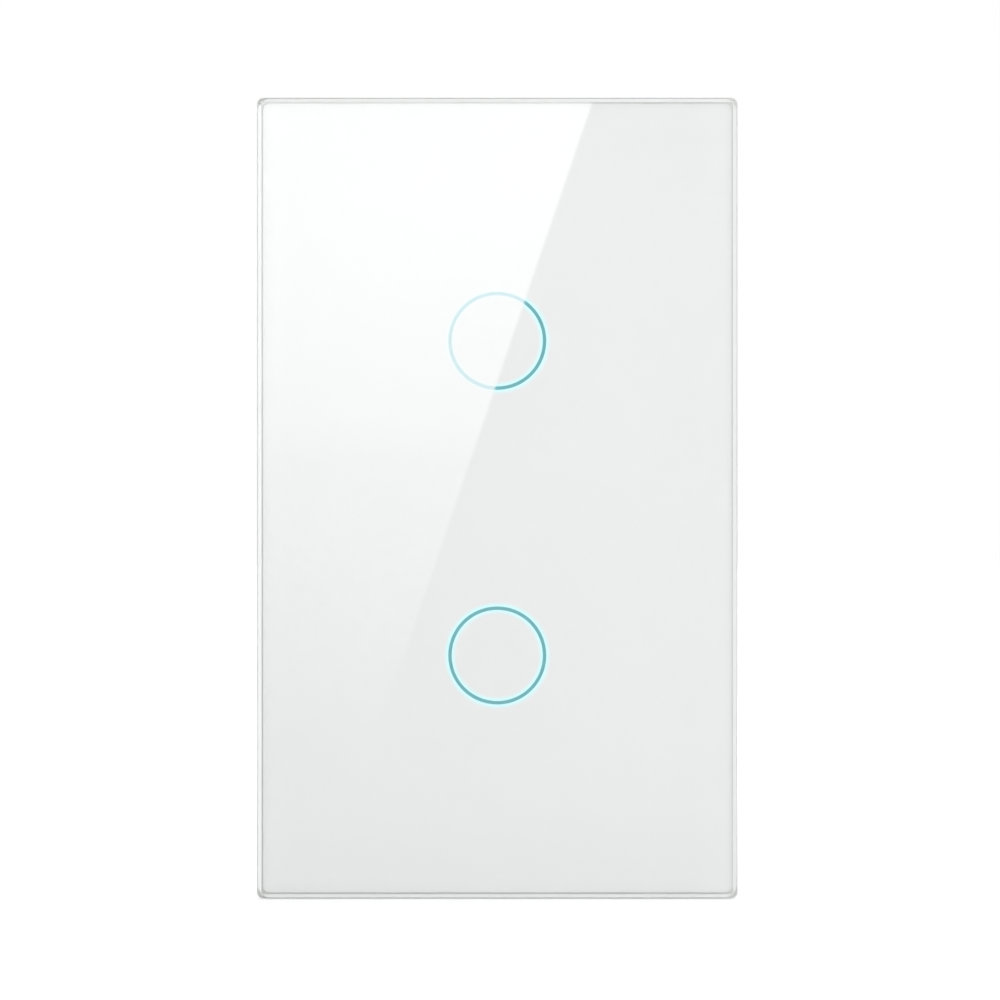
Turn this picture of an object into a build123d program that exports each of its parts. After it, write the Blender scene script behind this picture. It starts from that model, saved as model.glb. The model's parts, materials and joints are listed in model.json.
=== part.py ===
from build123d import *
import math
import os

# Two-key touch light switch for a single wall box: a glass front panel that pulls off a moulded
# base, a steel mounting yoke, and a rear housing with the relays, the supply and four wire clamps.
# All lengths are in millimetres. X is to the right and Z up as seen from the front. Y runs into
# the wall. The origin is on the wall plane, midway between the two mounting slots.

# Glass front panel
panel_width = 72.0
panel_height = 120.0
glass_thickness = 3.0
glass_corner = 1.0
glass_front_chamfer = 0.5
glass_back_chamfer = 0.25

# White enamel fired on the back of the glass, open in a thin ring at each key
print_thickness = 0.12
print_margin = 0.6
key_spacing = 47.2
ring_radius = 7.1
ring_line = 0.5

# Foam tape between the glass and the panel frame
tape_thickness = 0.4
tape_width = 5.0
tape_inset = 0.9
tape_corner = 2.0

# Moulded panel frame that carries the glass
frame_inset = 0.4
frame_corner = 0.9
frame_wall = 1.7
frame_web = 1.3
frame_rib_thickness = 1.0
frame_rib_height = 0.6
frame_rib_offset = 2.6
collar_wall = 0.9
collar_height = 0.6
pry_notch_width = 9.0
pry_notch_depth = 1.3

# Tongues on the panel frame and the sprung clips that grip them
tongue_side_margin = 16.0
tongue_end_margin = 9.5
tongue_thickness = 2.2
tongue_width = 7.0
tongue_tip_chamfer = 0.5
tongue_tip_gap = 0.4
groove_depth = 0.35
groove_height = 1.1
clip_strip = 0.3
clip_width = 5.0
clip_seat_width = 5.2
clip_kink_gap = 0.16
clip_kink_share = 0.56
clip_mouth_share = 0.88
clip_shoulder_share = 0.2
rivet_radius = 0.9
rivet_head_radius = 1.5
rivet_head_height = 0.45
rivet_tail_height = 0.5
rivet_play = 0.05

# Moulded base frame that lies on the wall
flange_thickness = 0.5
flange_inset = 0.3
skirt_gap = 0.2
base_clearance = 0.35
base_corner = 1.2
base_wall = 1.3
base_rim_height = 4.7
base_web = 1.4
base_window_width = 30.0
base_window_height = 42.0
clip_slot_gap = 0.5
well_gap = 2.4
well_collar_wall = 1.0
well_collar_height = 0.9
boss_radius = 2.3
board_standoff = 0.6
lip_wall = 1.2
lip_height = 2.4
lip_gap = 0.2
housing_boss_radius = 2.5
housing_boss_height = 7.8
board_post_radius = 1.4
board_post_spacing_z = 26.0

# Steel mounting yoke
yoke_thickness = 1.0
yoke_recess = 0.8
yoke_clearance = 0.4
yoke_corner = 3.0
yoke_window_gap = 0.4
yoke_bead_width = 1.6
yoke_bead_height = 0.35
yoke_bead_share = 0.62
slot_spacing = 83.3
slot_width = 4.4
slot_length = 7.0

# Screws that hold the yoke to the base frame
yoke_screw_share = 0.6
yoke_screw_margin = 10.0
yoke_screw_radius = 1.2
yoke_screw_head_radius = 2.3
yoke_screw_head_height = 0.7
yoke_screw_length = 4.0

# Rear housing that goes into the wall box
housing_width = 45.6
housing_height = 68.0
housing_depth = 24.0
housing_wall = 1.8
housing_corner = 3.0
housing_edge = 0.8
housing_step_height = 0.5
housing_step_border = 4.0
housing_rib_thickness = 1.2
housing_rib_depth = 1.5
housing_rib_spacing = 26.0
post_wall = 0.9
post_seat = 1.8
boss_clearance = 0.3
vent_width = 1.3
vent_length = 9.0
vent_pitch = 3.2
vent_count = 7
vent_height = 13.0
gauge_length = 8.0
gauge_width = 1.2
gauge_depth = 0.4
gauge_gap = 2.2
access_radius = 2.1
access_bevel = 0.4
entry_flare = 0.5

# Screws that hold the rear housing
housing_screw_radius = 1.3
housing_screw_head_radius = 2.2
housing_screw_head_height = 1.6
housing_screw_length = 7.5
housing_well_radius = 2.5

# Fits shared by all screws
screw_play = 0.05
screw_hole_play = 0.25
drive_width = 0.55
drive_share = 0.6
drive_depth_share = 0.6
screw_edge_share = 0.3
small_sides = 12

# Touch board, its screws, light rings, lamps and sensing springs
board_side_gap = 3.0
board_well_gap = 0.7
board_corner = 2.0
board_thickness = 1.2
board_headroom = 1.2
board_screw_margin = 3.6
board_screw_radius = 1.0
board_screw_head_radius = 1.9
board_screw_head_height = 0.9
board_screw_length = 2.9
light_foot_width = 1.8
light_foot_height = 0.8
light_lip_width = 0.8
light_gap = 0.1
light_clearance = 0.4
lamp_length = 1.6
lamp_width = 0.8
lamp_height = 0.6
lamp_count = 4
lamp_pocket_gap = 0.3
spring_wire = 0.45
spring_foot_radius = 3.4
spring_head_radius = 2.4
spring_turns = 2.5
spring_sides = 6
spring_gap = 0.12

# Parts on the back of the touch board
chip_width = 3.9
chip_length = 9.9
chip_height = 1.2
chip_drop = 0.15
chip_z = 4.5
leg_count = 8
leg_pitch = 1.1
leg_width = 0.4
leg_reach = 1.0
leg_thickness = 0.2
radio_width = 15.0
radio_height = 17.0
radio_board_thickness = 0.8
radio_z = -9.5
shield_width = 12.4
shield_height = 11.6
shield_depth = 1.5
shield_wall = 0.2
shield_offset = -1.8

# Header that joins the two boards
header_columns = 5
header_rows = 2
header_pitch = 2.54
header_z = 11.5
header_margin = 0.1
header_socket_height = 3.2
pin_width = 0.6
pin_play = 0.08
pin_proud = 0.7

# Power board
power_gap = 1.0
power_board_thickness = 1.6
power_board_clearance = 0.4
power_notch_gap = 0.5
power_rib_gap = 0.1

# Relays
relay_width = 15.6
relay_length = 19.2
relay_height = 15.2
relay_wall = 0.8
relay_edge = 0.5
relay_z = -10.6
relay_lift = 0.4
relay_base_thickness = 1.0
relay_fit = 0.1
relay_frame_thickness = 1.2
relay_frame_width = 9.0
relay_frame_gap = 0.7
bobbin_radius = 4.1
bobbin_flange = 0.7
bobbin_height = 8.4
winding_margin = 0.3
core_radius = 1.5
core_play = 0.05
pole_radius = 2.5
pole_height = 0.6
pole_gap = 0.5
hinge_gap = 0.05
armature_thickness = 0.9
armature_width = 8.4
armature_length = 9.4
blade_thickness = 0.25
blade_width = 3.6
blade_overlap = 3.0
blade_length = 14.6
contact_radius = 1.1
contact_height = 0.8
contact_gap = 0.86
fixed_contact_height = 0.5
contact_strip = 0.5
contact_strip_width = 2.6
contact_wall_gap = 0.2
stop_gap = 0.1
stop_reach = 6.0
return_spring_thickness = 0.25
return_spring_width = 3.6
return_spring_reach = 2.0
return_spring_share = 0.7
relay_pin_width = 0.7
relay_pin_proud = 2.4
relay_pin_spacing = 12.0

# Supply parts on the power board
transformer_z = 8.4
transformer_width = 13.0
transformer_height = 12.0
transformer_depth = 11.6
transformer_foot = 1.6
core_width = 6.0
core_limb = 2.8
coil_margin = 0.4
cap_z = 7.6
big_cap_radius = 4.6
small_cap_radius = 4.0
big_cap_height = 15.0
small_cap_height = 11.5
cap_rim = 0.35
line_cap_z = 20.6
line_cap_width = 13.0
line_cap_depth = 6.0
line_cap_height = 11.0
line_cap_edge = 0.5
choke_z = 20.4
choke_radius = 4.2
choke_height = 9.0
choke_flange = 1.2
choke_waist_share = 0.72
fuse_z = 19.8
fuse_radius = 4.2
fuse_height = 8.0
varistor_z = 28.4
varistor_radius = 3.6
varistor_thickness = 4.0
varistor_lift = 1.6
rectifier_z = 28.6
rectifier_width = 8.4
rectifier_depth = 3.2
rectifier_height = 9.0
lead_radius = 0.35
lead_length = 3.4
lead_inset_share = 0.6
lead_sides = 6

# Terminal block with rising clamps
cell_count = 4
block_side_gap = 0.2
cell_wall_share = 0.18
block_back_gap = 0.2
block_end_gap = 0.2
block_front_wall = 1.2
block_rear_wall = 1.1
shelf_thickness = 1.2
head_sink = 0.5
head_radius = 2.4
head_height = 2.0
head_play = 0.25
screw_radius = 1.5
screw_tip_gap = 0.1
screw_thread_play = 0.05
screw_slot_width = 0.8
bar_thickness = 1.0
bar_share = 0.85
bar_tail_length = 1.8
cage_length = 5.0
cage_wall_share = 0.15
cage_top = 1.5
cage_floor = 1.1
cage_side_gap = 0.25
cage_bar_gap = 0.3
cage_end_gap = 0.3
wire_space = 3.3
clamp_travel = 2.2
cage_roof_gap = 0.3
cage_corner = 0.3
cage_seam = 0.15

# One overrun serves every through cut
overrun = 1.0

# Levels in front of the wall, as distances out from it
web_back = yoke_recess + yoke_thickness
web_front = web_back + base_web
board_back = web_front + board_standoff
board_front = board_back + board_thickness
frame_back = board_front + board_headroom
frame_front = frame_back + frame_web
print_back = frame_front + tape_thickness
glass_back = print_back + print_thickness
glass_front = glass_back + glass_thickness
skirt_back = flange_thickness + skirt_gap

# Widths and heights that follow from each other
tongue_spacing_x = panel_width - 2 * tongue_side_margin
tongue_spacing_z = panel_height - 2 * tongue_end_margin
yoke_screw_spacing_x = tongue_spacing_x * yoke_screw_share
yoke_screw_spacing_z = panel_height - 2 * yoke_screw_margin
frame_width = panel_width - 2 * frame_inset
frame_height = panel_height - 2 * frame_inset
cavity_width = frame_width - 2 * frame_wall
cavity_height = frame_height - 2 * frame_wall
base_width = cavity_width - 2 * base_clearance
base_height = cavity_height - 2 * base_clearance
recess_width = base_width - 2 * base_wall
recess_height = base_height - 2 * base_wall
light_outer_radius = ring_radius + light_foot_width / 2
key_hole_radius = light_outer_radius + light_clearance
housing_inner_width = housing_width - 2 * housing_wall
housing_inner_height = housing_height - 2 * housing_wall
boss_x = housing_inner_width / 2 - boss_clearance - housing_boss_radius
boss_z = housing_inner_height / 2 - boss_clearance - housing_boss_radius
post_radius = housing_well_radius + post_wall
board_post_spacing_x = housing_inner_width - 2 * (lip_gap + lip_wall) - board_post_radius
key_places = [key_spacing / 2, -key_spacing / 2]
well_width = slot_width + 2 * well_gap
well_length = slot_length + 2 * well_gap
board_width = recess_width - 2 * board_side_gap
board_height = slot_spacing - well_length - 2 * (well_collar_wall + board_well_gap)
board_screw_spacing_x = board_width - 2 * board_screw_margin
board_screw_spacing_z = board_height - 2 * board_screw_margin

# Depths behind the wall
power_front = power_gap
power_back = power_front + power_board_thickness
boss_tip = housing_boss_height - web_back
housing_floor = housing_depth - housing_wall

# Terminal levels, worked from the housing's back wall towards the front
block_top = housing_floor - block_back_gap
head_top = block_top - head_sink
head_under = head_top - head_height
shelf_under = head_under - shelf_thickness
cage_roof = shelf_under - cage_roof_gap - clamp_travel
bar_top = cage_roof - cage_top - cage_bar_gap
bar_under = bar_top - bar_thickness
cage_floor_top = bar_under - wire_space
cage_under = cage_floor_top - cage_floor
cell_under = cage_under - cage_roof_gap
cell_pitch = 2 * (boss_x - post_radius - block_side_gap) / cell_count
cell_width = cell_pitch * (1 - cell_wall_share)
cage_width = cell_width - 2 * cage_side_gap
cage_wall = cage_width * cage_wall_share
entry_width = cage_width - 2 * cage_wall
bar_width = entry_width * bar_share
block_low = -housing_inner_height / 2 + block_end_gap
cell_low = block_low + block_front_wall
cell_high = cell_low + cage_length + 2 * cage_end_gap
bar_leg_low = cell_high + block_rear_wall
block_high = bar_leg_low + bar_thickness + block_rear_wall
clamp_z = (cell_low + cell_high) / 2
cell_places = [(n - (cell_count - 1) / 2) * cell_pitch for n in range(cell_count)]


def spread(widths, room):
    """Middles of pieces of these widths in a row across a room, with equal gaps all along."""
    gap = (room - sum(widths)) / (len(widths) + 1)
    edge = -room / 2
    middles = []
    for width in widths:
        middles.append(edge + gap + width / 2)
        edge = edge + gap + width
    return middles


# Rows of parts across the power board, clear of the housing's ribs and posts
rib_room = housing_inner_width - 2 * housing_rib_depth
post_room = 2 * (boss_x - post_radius)
relay_middles = spread([relay_width, relay_width], rib_room)
transformer_x, big_cap_x, small_cap_x = spread(
    [transformer_width, 2 * big_cap_radius, 2 * small_cap_radius], rib_room
)
line_cap_x, choke_x, fuse_x = spread([line_cap_width, 2 * choke_radius, 2 * fuse_radius], rib_room)
varistor_x, rectifier_x = spread([2 * varistor_radius, rectifier_width], post_room)


def slab(outline, front, back):
    """An outline drawn in X and Z, made solid from depth front to depth back."""
    face = Plane(origin=(0, back, 0), x_dir=(1, 0, 0), z_dir=(0, -1, 0))
    return extrude(face * outline, amount=back - front)


def upright(outline, low, high):
    """An outline drawn in X and Y, made solid from height low to height high."""
    return Pos(0, 0, low) * extrude(outline, amount=high - low)


def crosswise(outline, left, right):
    """An outline drawn in Z and Y, made solid from left to right along X."""
    face = Plane(origin=(right, 0, 0), x_dir=(0, 0, 1), z_dir=(-1, 0, 0))
    return extrude(face * outline, amount=right - left)


def brick(x_low, x_high, front, back, z_low, z_high):
    """A plain block between six planes."""
    size = (x_high - x_low, back - front, z_high - z_low)
    middle = ((x_low + x_high) / 2, (front + back) / 2, (z_low + z_high) / 2)
    return Pos(*middle) * Box(*size)


def rod(x, z, front, back, radius):
    """A round bar along Y."""
    return slab(Pos(x, z) * Circle(radius), front, back)


def prism(x, z, front, back, radius):
    """A bar along Y with a few flat sides, for the small round things that repeat."""
    return slab(Pos(x, z) * RegularPolygon(radius, small_sides), front, back)


def corners(spacing_x, spacing_z):
    """The four corners of a rectangle round the middle of the part."""
    return [(i * spacing_x / 2, j * spacing_z / 2) for j in (1, -1) for i in (-1, 1)]


def joined(first, others):
    for other in others:
        first = first + other
    return first


def pan_screw(head_radius, head_height, shank_radius, shank_length):
    """A cross-head screw along Z, with the underside of its head at zero."""
    head = extrude(RegularPolygon(head_radius, small_sides), amount=head_height)
    shank = extrude(RegularPolygon(shank_radius, small_sides), amount=-shank_length)
    arm = 2 * head_radius * drive_share
    depth = head_height * drive_depth_share
    recess = extrude(Rectangle(arm, drive_width) + Rectangle(drive_width, arm), amount=depth)
    return head + shank - Pos(0, 0, head_height - depth) * recess


def facing_back(shape, x, depth, z):
    """Places a shape drawn along Z so that its +Z end points into the wall."""
    return Pos(x, depth, z) * Rot(X=-90) * shape


def facing_front(shape, x, depth, z):
    """Places a shape drawn along Z so that its +Z end points out of the wall."""
    return Pos(x, depth, z) * Rot(X=90) * shape


def glass_panel():
    outline = RectangleRounded(panel_width, panel_height, glass_corner)
    glass = slab(outline, -glass_front, -glass_back)
    glass = chamfer(glass.faces().sort_by(Axis.Y)[0].edges(), glass_front_chamfer)
    return chamfer(glass.faces().sort_by(Axis.Y)[-1].edges(), glass_back_chamfer)


def back_print():
    """The enamel is one sheet with a disc left inside each clear ring."""
    border = 2 * (glass_back_chamfer + print_margin)
    sheet = RectangleRounded(panel_width - border, panel_height - border, glass_corner)
    discs = []
    for z in key_places:
        sheet = sheet - Pos(0, z) * Circle(ring_radius + ring_line / 2)
        discs.append(Pos(0, z) * Circle(ring_radius - ring_line / 2))
    solids = [slab(s, -glass_back, -print_back) for s in [sheet, *discs]]
    return Compound(children=solids)


def panel_tape():
    outer_width = frame_width - 2 * tape_inset
    outer_height = frame_height - 2 * tape_inset
    outline = RectangleRounded(outer_width, outer_height, tape_corner)
    inner = Rectangle(outer_width - 2 * tape_width, outer_height - 2 * tape_width)
    return slab(outline - inner, -print_back, -frame_front)


def tongue(x, z):
    """A flat tongue with a vee groove on each side for the clip's kinks."""
    half = tongue_thickness / 2
    tip = -(web_back + clip_strip + rivet_head_height + tongue_tip_gap)
    groove = kink_depth()
    points = [
        (x - half, -frame_back),
        (x - half, groove - groove_height / 2),
        (x - half + groove_depth, groove),
        (x - half, groove + groove_height / 2),
        (x - half, tip - tongue_tip_chamfer),
        (x - half + tongue_tip_chamfer, tip),
        (x + half - tongue_tip_chamfer, tip),
        (x + half, tip - tongue_tip_chamfer),
        (x + half, groove + groove_height / 2),
        (x + half - groove_depth, groove),
        (x + half, groove - groove_height / 2),
        (x + half, -frame_back),
    ]
    outline = make_face(Polyline(*points, close=True))
    return upright(outline, z - tongue_width / 2, z + tongue_width / 2)


def kink_depth():
    """How deep the clip's kinks sit, as a share of the way from the yoke to the panel frame."""
    return -(web_back + clip_kink_share * (frame_back - web_back))


def panel_frame():
    outline = RectangleRounded(frame_width, frame_height, frame_corner)
    hollow = Rectangle(cavity_width, cavity_height)
    frame = slab(outline, -frame_front, -skirt_back) - slab(hollow, -frame_back, -skirt_back + overrun)
    ribs_out = Rectangle(cavity_width - 2 * frame_rib_offset, cavity_height - 2 * frame_rib_offset)
    ribs_in = Rectangle(
        cavity_width - 2 * (frame_rib_offset + frame_rib_thickness),
        cavity_height - 2 * (frame_rib_offset + frame_rib_thickness),
    )
    cross = Rectangle(cavity_width - 2 * frame_rib_offset, frame_rib_thickness)
    for z in key_places:
        cross = cross + Pos(0, z) * Rectangle(
            cavity_width - 2 * frame_rib_offset, frame_rib_thickness
        )
        cross = cross + Pos(0, z) * Circle(key_hole_radius + collar_wall)
    frame = frame + slab(ribs_out - ribs_in + cross, -frame_back, -frame_back + frame_rib_height)
    for z in key_places:
        hole = rod(0, z, -frame_front - overrun, -frame_back + collar_height + overrun, key_hole_radius)
        frame = frame - hole
    for x, z in corners(tongue_spacing_x, tongue_spacing_z):
        frame = frame + tongue(x, z)
    notch = Pos(0, -frame_height / 2) * Rectangle(pry_notch_width, 2 * (frame_wall + overrun))
    return frame - slab(notch, -skirt_back - pry_notch_depth, -skirt_back + overrun)


def clip(x, z):
    """A strip bent into a U whose arms kink inwards to grip the tongue and flare at the mouth."""
    half_seat = clip_seat_width / 2
    base = -(web_back + clip_strip / 2)
    reach = frame_back - web_back
    kink = tongue_thickness / 2 - groove_depth + clip_kink_gap + clip_strip / 2
    shoulder = -(web_back + clip_shoulder_share * reach)
    mouth = -(web_back + clip_mouth_share * reach)
    points = [
        (x - half_seat, mouth),
        (x - kink, kink_depth()),
        (x - half_seat, shoulder),
        (x - half_seat + clip_strip, base),
        (x + half_seat - clip_strip, base),
        (x + half_seat, shoulder),
        (x + kink, kink_depth()),
        (x + half_seat, mouth),
    ]
    strip = trace(Polyline(*points), clip_strip)
    bent = upright(strip, z - clip_width / 2, z + clip_width / 2)
    hole = prism(x, z, base - clip_strip, base + clip_strip, rivet_radius + rivet_play)
    return bent - hole


def retaining_clips():
    return Compound(children=[clip(x, z) for x, z in corners(tongue_spacing_x, tongue_spacing_z)])


def clip_rivets():
    rivets = []
    for x, z in corners(tongue_spacing_x, tongue_spacing_z):
        head_seat = -(web_back + clip_strip)
        tail_seat = -yoke_recess
        shank = prism(x, z, head_seat, tail_seat, rivet_radius)
        head = prism(x, z, head_seat - rivet_head_height, head_seat, rivet_head_radius)
        tail = prism(x, z, tail_seat, tail_seat + rivet_tail_height, rivet_head_radius)
        rivets.append(shank + head + tail)
    return Compound(children=rivets)


def mounting_slot(width, length):
    """A slot that runs up and down, so that one yoke suits boxes of slightly different pitch."""
    return SlotOverall(length, width, rotation=90)


def base_frame():
    flange_width = frame_width - 2 * flange_inset
    flange_height = frame_height - 2 * flange_inset
    outline = RectangleRounded(base_width, base_height, base_corner)
    recess = Rectangle(recess_width, recess_height)
    base = slab(outline, -base_rim_height, 0)
    base = base + slab(RectangleRounded(flange_width, flange_height, base_corner), -flange_thickness, 0)
    base = base - slab(recess, -base_rim_height - overrun, -web_front)
    base = base - slab(recess, -web_back, overrun)

    # Bosses for the touch board's screws and the yoke's screws, on the front of the web
    for x, z in corners(board_screw_spacing_x, board_screw_spacing_z):
        base = base + prism(x, z, -board_back, -web_front, boss_radius)
    yoke_boss_tip = -(yoke_recess + yoke_screw_length + board_standoff)
    for x, z in corners(yoke_screw_spacing_x, yoke_screw_spacing_z):
        base = base + prism(x, z, yoke_boss_tip, -web_front, boss_radius)

    # Collar round each mounting screw's well
    for side in (1, -1):
        collar = mounting_slot(well_width + 2 * well_collar_wall, well_length + 2 * well_collar_wall)
        place = Pos(0, side * slot_spacing / 2)
        base = base + slab(place * collar, -web_front - well_collar_height, -web_front)
        well = mounting_slot(well_width, well_length)
        base = base - slab(place * well, -web_front - well_collar_height - overrun, overrun)

    # Lip that enters the rear housing, corner bosses for its screws, and posts for the power board
    lip_width = housing_inner_width - 2 * lip_gap
    lip_tall = housing_inner_height - 2 * lip_gap
    inner_corner = max(housing_corner - housing_wall, lip_gap)
    lip = RectangleRounded(lip_width, lip_tall, inner_corner)
    lip = lip - Rectangle(lip_width - 2 * lip_wall, lip_tall - 2 * lip_wall)
    base = base + slab(lip, -web_back, -web_back + lip_height)
    for x, z in corners(2 * boss_x, 2 * boss_z):
        base = base + prism(x, z, -web_back, boss_tip, housing_boss_radius)
    for x, z in corners(board_post_spacing_x, board_post_spacing_z):
        base = base + prism(x, z, -web_back, power_front, board_post_radius)

    # Holes
    window = Rectangle(base_window_width, base_window_height)
    base = base - slab(window, -web_front - overrun, -web_back + overrun)
    for x, z in corners(2 * boss_x, 2 * boss_z):
        base = base - prism(x, z, -web_back, boss_tip + overrun, housing_screw_radius + screw_play)
    for x, z in corners(board_screw_spacing_x, board_screw_spacing_z):
        base = base - prism(x, z, -board_back - overrun, overrun, board_screw_radius + screw_play)
    for x, z in corners(yoke_screw_spacing_x, yoke_screw_spacing_z):
        hole_tip = -(yoke_recess + yoke_screw_length)
        base = base - prism(x, z, hole_tip, overrun, yoke_screw_radius + screw_play)
    slot_x = clip_seat_width + clip_strip + 2 * clip_slot_gap
    slot_z = max(clip_width, tongue_width) + 2 * clip_slot_gap
    for x, z in corners(tongue_spacing_x, tongue_spacing_z):
        slot = Pos(x, z) * Rectangle(slot_x, slot_z)
        base = base - slab(slot, -web_front - overrun, overrun)
    return base


def mounting_yoke():
    width = recess_width - 2 * yoke_clearance
    height = recess_height - 2 * yoke_clearance
    outline = RectangleRounded(width, height, yoke_corner)
    window = Rectangle(housing_width + 2 * yoke_window_gap, housing_height + 2 * yoke_window_gap)
    yoke = slab(outline - window, -web_back, -yoke_recess)
    for side in (1, -1):
        slot = Pos(0, side * slot_spacing / 2) * mounting_slot(slot_width, slot_length)
        yoke = yoke - slab(slot, -web_back - overrun, overrun)
        side_bar = (width - housing_width) / 2 - yoke_window_gap
        bead_x = side * (width - side_bar) / 2
        bead = Pos(bead_x, 0) * Rectangle(yoke_bead_width, housing_height * yoke_bead_share)
        yoke = yoke + slab(bead, -yoke_recess, -yoke_recess + yoke_bead_height)
    for x, z in corners(yoke_screw_spacing_x, yoke_screw_spacing_z):
        yoke = yoke - prism(x, z, -web_back - overrun, overrun, yoke_screw_radius + screw_hole_play)
    for x, z in corners(tongue_spacing_x, tongue_spacing_z):
        yoke = yoke - prism(x, z, -web_back - overrun, overrun, rivet_radius + rivet_play)
    return yoke


def yoke_screws():
    screw = pan_screw(
        yoke_screw_head_radius, yoke_screw_head_height, yoke_screw_radius, yoke_screw_length
    )
    places = corners(yoke_screw_spacing_x, yoke_screw_spacing_z)
    return Compound(children=[facing_back(screw, x, -yoke_recess, z) for x, z in places])


def entry_outline(grow):
    """The wire entry in X and Y: as tall as the space under the clamping bar."""
    middle = (cage_floor_top + bar_under) / 2
    return Pos(0, middle) * Rectangle(entry_width + 2 * grow, wire_space + 2 * grow)


def rear_housing():
    outline = RectangleRounded(housing_width, housing_height, housing_corner)
    shell = slab(outline, -web_back, housing_depth)
    shell = chamfer(shell.faces().sort_by(Axis.Y)[-1].edges(), housing_edge)
    inner = RectangleRounded(
        housing_inner_width, housing_inner_height, max(housing_corner - housing_wall, lip_gap)
    )
    shell = shell - slab(inner, -web_back - overrun, housing_floor)

    # Corner posts with deep wells for the screws
    reach_x = (housing_width - housing_wall) / 2 - boss_x
    reach_z = (housing_height - housing_wall) / 2 - boss_z
    for x, z in corners(2 * boss_x, 2 * boss_z):
        webs = Pos(x + math.copysign(reach_x / 2, x), z) * Rectangle(reach_x, 2 * post_wall)
        webs = webs + Pos(x, z + math.copysign(reach_z / 2, z)) * Rectangle(2 * post_wall, reach_z)
        shell = shell + prism(x, z, boss_tip, housing_floor + post_wall, post_radius)
        shell = shell + slab(webs, boss_tip, housing_floor)
    for x, z in corners(2 * boss_x, 2 * boss_z):
        shell = shell - rod(x, z, boss_tip + post_seat, housing_depth + overrun, housing_well_radius)
        hole = housing_screw_radius + screw_hole_play
        shell = shell - prism(x, z, boss_tip - overrun, boss_tip + post_seat + overrun, hole)

    # Ribs inside the long walls, which press on the power board
    rib_front = power_back + power_rib_gap
    rib_x = housing_inner_width / 2
    for z in (housing_rib_spacing / 2, -housing_rib_spacing / 2):
        for side in (1, -1):
            near = side * (rib_x - housing_rib_depth)
            far = side * (rib_x + housing_wall / 2)
            shell = shell + brick(
                min(near, far),
                max(near, far),
                rib_front,
                housing_floor + housing_wall / 2,
                z - housing_rib_thickness / 2,
                z + housing_rib_thickness / 2,
            )

    # Vent slots through both long walls
    vent_middle = (power_back + housing_floor) / 2
    for n in range(vent_count):
        z = vent_height + (n - (vent_count - 1) / 2) * vent_pitch
        slot = Pos(z, vent_middle) * Rectangle(vent_width, vent_length)
        shell = shell - crosswise(slot, -housing_width / 2 - overrun, housing_width / 2 + overrun)

    # Shallow panel on the back, a stripping gauge beside it, and holes over the clamp screws
    panel_low = clamp_z + head_radius + housing_step_border + gauge_gap
    panel_high = boss_z - post_radius
    panel = Pos(0, (panel_low + panel_high) / 2) * Rectangle(
        housing_width - 2 * (housing_edge + housing_step_border), panel_high - panel_low
    )
    shell = shell - slab(panel, housing_depth - housing_step_height, housing_depth + overrun)
    gauge = Pos(0, panel_low - gauge_gap) * Rectangle(gauge_length, gauge_width)
    shell = shell - slab(gauge, housing_depth - gauge_depth, housing_depth + overrun)
    for x in cell_places:
        shell = shell - rod(x, clamp_z, housing_floor - overrun, housing_depth + overrun, access_radius)
        cone = Cone(access_radius, access_radius + access_bevel, access_bevel)
        shell = shell - facing_back(cone, x, housing_depth - access_bevel / 2, clamp_z)
        entry = Pos(x, 0) * entry_outline(0)
        low = -housing_height / 2
        shell = shell - upright(entry, low - overrun, low + housing_wall + overrun)
        mouth = loft(
            [
                Pos(x, 0, low) * entry_outline(entry_flare),
                Pos(x, 0, low + entry_flare) * entry_outline(0),
            ]
        )
        shell = shell - mouth
    return shell


def housing_screws():
    screw = pan_screw(
        housing_screw_head_radius, housing_screw_head_height, housing_screw_radius, housing_screw_length
    )
    seat = boss_tip + post_seat
    return Compound(children=[facing_back(screw, x, seat, z) for x, z in corners(2 * boss_x, 2 * boss_z)])


def header_places():
    """Where the header's pins stand, in X and Z."""
    return [
        (
            (i - (header_columns - 1) / 2) * header_pitch,
            header_z + (j - (header_rows - 1) / 2) * header_pitch,
        )
        for j in range(header_rows)
        for i in range(header_columns)
    ]


def touch_board():
    board = slab(RectangleRounded(board_width, board_height, board_corner), -board_front, -board_back)
    hole = board_screw_radius + screw_hole_play
    for x, z in corners(board_screw_spacing_x, board_screw_spacing_z):
        board = board - prism(x, z, -board_front - overrun, -board_back + overrun, hole)
    pin_hole = Rectangle(pin_width + 2 * pin_play, pin_width + 2 * pin_play)
    for x, z in header_places():
        board = board - slab(Pos(x, z) * pin_hole, -board_front - overrun, -board_back + overrun)
    return board


def board_screws():
    screw = pan_screw(
        board_screw_head_radius, board_screw_head_height, board_screw_radius, board_screw_length
    )
    places = corners(board_screw_spacing_x, board_screw_spacing_z)
    return Compound(children=[facing_front(screw, x, -board_front, z) for x, z in places])


def lamp_turns():
    return [(n + 1 / 2) * 360 / lamp_count for n in range(lamp_count)]


def light_ring(z):
    """A translucent ring with a wide foot on the board and a narrow neck behind the clear line."""
    height = print_back - light_gap - board_front
    foot = light_foot_width / 2
    lip = light_lip_width / 2
    points = [
        (ring_radius - foot, 0),
        (ring_radius + foot, 0),
        (ring_radius + foot, light_foot_height),
        (ring_radius + lip, light_foot_height),
        (ring_radius + lip, height),
        (ring_radius - lip, height),
        (ring_radius - lip, light_foot_height),
        (ring_radius - foot, light_foot_height),
    ]
    profile = Plane.XZ * make_face(Polyline(*points, close=True))
    ring = revolve(profile, Axis.Z)
    pocket_length = lamp_length + 2 * lamp_pocket_gap
    pocket_width = lamp_width + 2 * lamp_pocket_gap
    pocket_height = lamp_height + lamp_pocket_gap
    for turn in lamp_turns():
        pocket = Box(pocket_width, pocket_length, 2 * pocket_height)
        ring = ring - Rot(Z=turn) * Pos(ring_radius, 0, 0) * pocket
    return facing_front(ring, 0, -board_front, z)


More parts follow.
